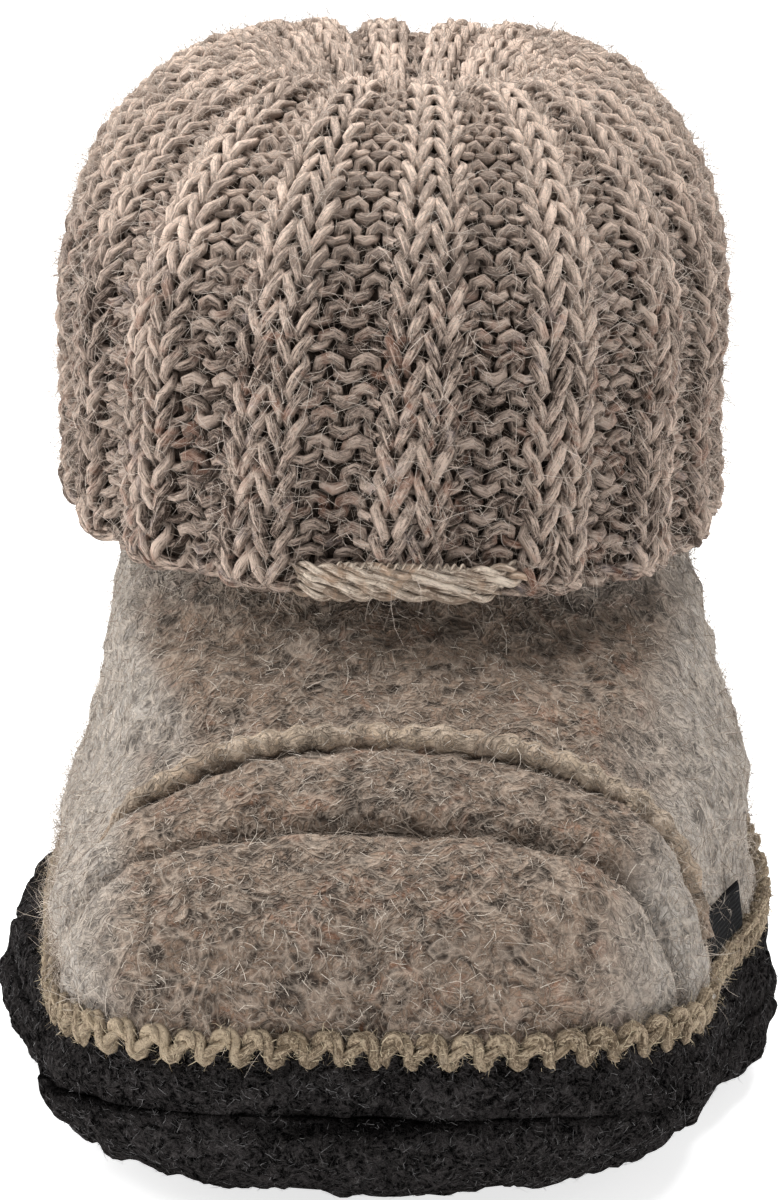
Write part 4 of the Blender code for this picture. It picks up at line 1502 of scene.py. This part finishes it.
    def bind_off(self, knit: Loft, rng: np.random.Generator) -> Patch:
        """Return the twisted strands that finish the hem at the front."""
        t = np.linspace(0, 1, self.bind_steps)
        ends = np.abs(2 * t - 1) ** self.bind_end
        out = self.rib_peak - self.sink + self.bind_lift - self.bind_drop * ends
        radius = self.bind_radius * self.bind_swell * (1 - self.bind_taper * ends)
        paths, normals, tones = [], [], []
        for k in range(self.bind_ropes):
            middle = self.bind_middle + rng.normal(0, self.bind_shift)
            turn = (middle + self.bind_reach * (2 * t - 1) * rng.uniform(self.bind_short, 1)) / self.wales
            wave = np.sin(2 * math.pi * rng.uniform(1, 2) * t + rng.uniform(0, 6))
            course = self.bind_course + self.bind_spacing * k + self.bind_wander * wave
            row = self.row(np.clip(course, 0, None))
            path = knit.shifted(turn, row, out)
            normal = knit.normal(turn, row)
            twist = 2 * math.pi * (self.bind_twists * t + rng.uniform(0, 1)) + self.bind_swing * wave
            for angle in (twist, twist + math.pi):
                paths.append(path + self.bind_radius * wound(path, normal, angle))
                normals.append(normal)
                tones.append(np.full(self.bind_steps, rng.normal(0, 1)))
        return sweep(np.stack(paths), np.stack(normals), radius, self.bind_sides, tone=np.stack(tones))

    def thread(self, knit: Loft) -> Patch:
        """Return the line of sewing thread above the strands at the front."""
        s = self.bind_middle + np.linspace(-self.thread_reach, self.thread_reach, self.thread_steps)
        phase = 2 * math.pi * self.thread_stitches * s
        turn = s / self.wales
        row = self.row(self.thread_course + self.thread_swing * np.sin(phase))
        out = self.rib_peak - self.sink + self.thread_lift + self.thread_bob * np.cos(phase)
        path = knit.shifted(turn, row, out)
        return sweep(path[None], knit.normal(turn, row)[None], self.thread_radius, self.thread_sides)

    def inside(self, knit: Loft) -> Patch:
        """Return the closed backing behind the loops."""
        s = np.arange(2 * self.wales) / 2
        courses = np.linspace(self.backing_edge, self.courses + 1 - self.backing_edge, self.backing_rows)
        face, _ = self.spot(knit, s, courses[:, None], self.sink - self.backing)
        turns = (s - 1 + self.rib_shift) / self.wales
        back = knit.shifted(turns, np.array(self.inner_rows)[:, None], -self.inner_wall)
        return Patch.grid(np.concatenate([face, back, face[:1]]))

    def build(self, knit: Loft) -> None:
        """Make the loops, the hem, the backing and the stray hairs."""
        self.measure(knit)
        rng = np.random.default_rng(self.seed)
        courses = self.first_course + np.arange(self.courses)
        half = self.outer_courses // 2
        lower = self.loops(knit, courses[:half], self.steps, rng)
        upper = self.loops(knit, courses[half : self.outer_courses], self.steps, rng)
        throat = self.loops(knit, courses[self.outer_courses : self.knit_courses], self.inner_steps, rng)
        material = KNIT_FINISH.build()
        add_piece("cuff_knit_lower", lower, material)
        add_piece("cuff_knit_upper", upper, material)
        add_piece("cuff_knit_throat", throat, material)
        add_piece("cuff_hem", self.hem(knit, rng), material)
        bound = Patch.join(self.bind_off(knit, rng), self.thread(knit))
        add_piece("cuff_bind_off", bound, HEM_FINISH.build())
        add_piece("cuff_backing", self.inside(knit), SHADED_BACKING_FINISH.build(), ("cuff",))
        ground = Patch.join(lower, upper)
        away = unit(ground.points[ground.quads].mean(axis=1) - np.array(self.heart))
        facing = np.clip((ground.normals() * away).sum(axis=1), 0, 1)
        add_piece("cuff_hair", self.hairs.grow(ground, facing**2), KNIT_HAIR.build())


@dataclass(frozen=True)
class Lamp:
    """One soft studio lamp."""

    name: str
    place: tuple[float, float, float]
    size: float
    power: float


@dataclass
class Studio:
    """The pale floor, the soft lamps and the camera."""

    aim: tuple[float, float, float] = (-0.0008, 0, 0.0408)
    eye: tuple[float, float, float] = (0.0031, -0.785, 0.252)
    lens: float = 153.8
    sensor: float = 24
    roll: float = math.radians(1.1)
    sky: float = 0.225
    floor_size: float = 8
    floor_tones: tuple[Color, Color] = (srgb(250, 250, 250), srgb(246, 246, 246))
    floor_clouds: Noise = Noise(3)
    floor_roughness: float = 0.9
    floor_glow: float = 0.75
    lamps: tuple[Lamp, ...] = (
        Lamp("key", (-0.9, -0.3, 1.25), 0.7, 9.5),
        Lamp("fill", (1.2, -0.9, 0.7), 1.2, 0.5),
        Lamp("top", (0.05, 0.35, 1.5), 1.2, 30),
        Lamp("left", (-1.3, 0.1, 0.5), 0.8, 6.5),
        Lamp("right", (1.3, 0.35, 0.5), 0.8, 1.6),
    )

    def build(self) -> None:
        """Add the floor, lamps, sky and camera to the scene."""
        self.floor()
        for lamp in self.lamps:
            light = bpy.data.lights.new(lamp.name, "AREA")
            light.size = lamp.size
            light.energy = lamp.power
            self.aimed(bpy.data.objects.new(lamp.name, light), lamp.place)
        world = bpy.data.worlds.new("sky")
        world.use_nodes = True
        world.node_tree.nodes["Background"].inputs["Color"].default_value = (1, 1, 1, 1)
        world.node_tree.nodes["Background"].inputs["Strength"].default_value = self.sky
        bpy.context.scene.world = world
        bpy.context.scene.view_settings.view_transform = "Standard"
        data = bpy.data.cameras.new("camera")
        data.sensor_fit = "VERTICAL"
        data.sensor_height = self.sensor
        data.lens = self.lens
        camera = self.aimed(bpy.data.objects.new("camera", data), self.eye)
        camera.matrix_world = camera.matrix_world @ Matrix.Rotation(self.roll, 4, "Z")
        bpy.context.scene.camera = camera

    def floor(self) -> None:
        """Lay the floor."""
        half = self.floor_size / 2
        corners = [(x * half, y * half, 0) for x, y in ((-1, -1), (1, -1), (1, 1), (-1, 1))]
        mesh = bpy.data.meshes.new("floor")
        mesh.from_pydata(corners, [], [(0, 1, 2, 3)])
        shader = Shader("pale_floor")
        color = shader.mix(shader.noise(shader.place(), self.floor_clouds), *self.floor_tones)
        shader.base.inputs["Emission Color"].default_value = (1, 1, 1, 1)
        shader.base.inputs["Emission Strength"].default_value = self.floor_glow
        mesh.materials.append(shader.finish(color, self.floor_roughness, 0, (1, 1, 1)))
        floor = bpy.data.objects.new("floor", mesh)
        bpy.context.scene.collection.objects.link(floor)

    def aimed(self, item: bpy.types.Object, place: tuple[float, float, float]) -> bpy.types.Object:
        """Put an object in its place, looking at the slipper."""
        bpy.context.scene.collection.objects.link(item)
        look = (Vector(self.aim) - Vector(place)).to_track_quat("-Z", "Y")
        item.matrix_world = Matrix.Translation(place) @ look.to_matrix().to_4x4()
        return item


def main() -> None:
    """Load the part, dress every piece and set up the studio."""
    logging.basicConfig(level=logging.INFO, format="%(name)s: %(message)s")
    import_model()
    sole = Loft(SOLE_RINGS)
    wall = Loft(WALL_RINGS)
    knit = Loft(CUFF_RINGS, knitted=True)
    FeltSole().build(sole, wall)
    Insole().build(wall)
    FeltUpper().build(wall)
    EdgeStitching().build(wall)
    SideTab().build(wall)
    KnitCuff().build(knit)
    Studio().build()


if __name__ == "__main__":
    main()
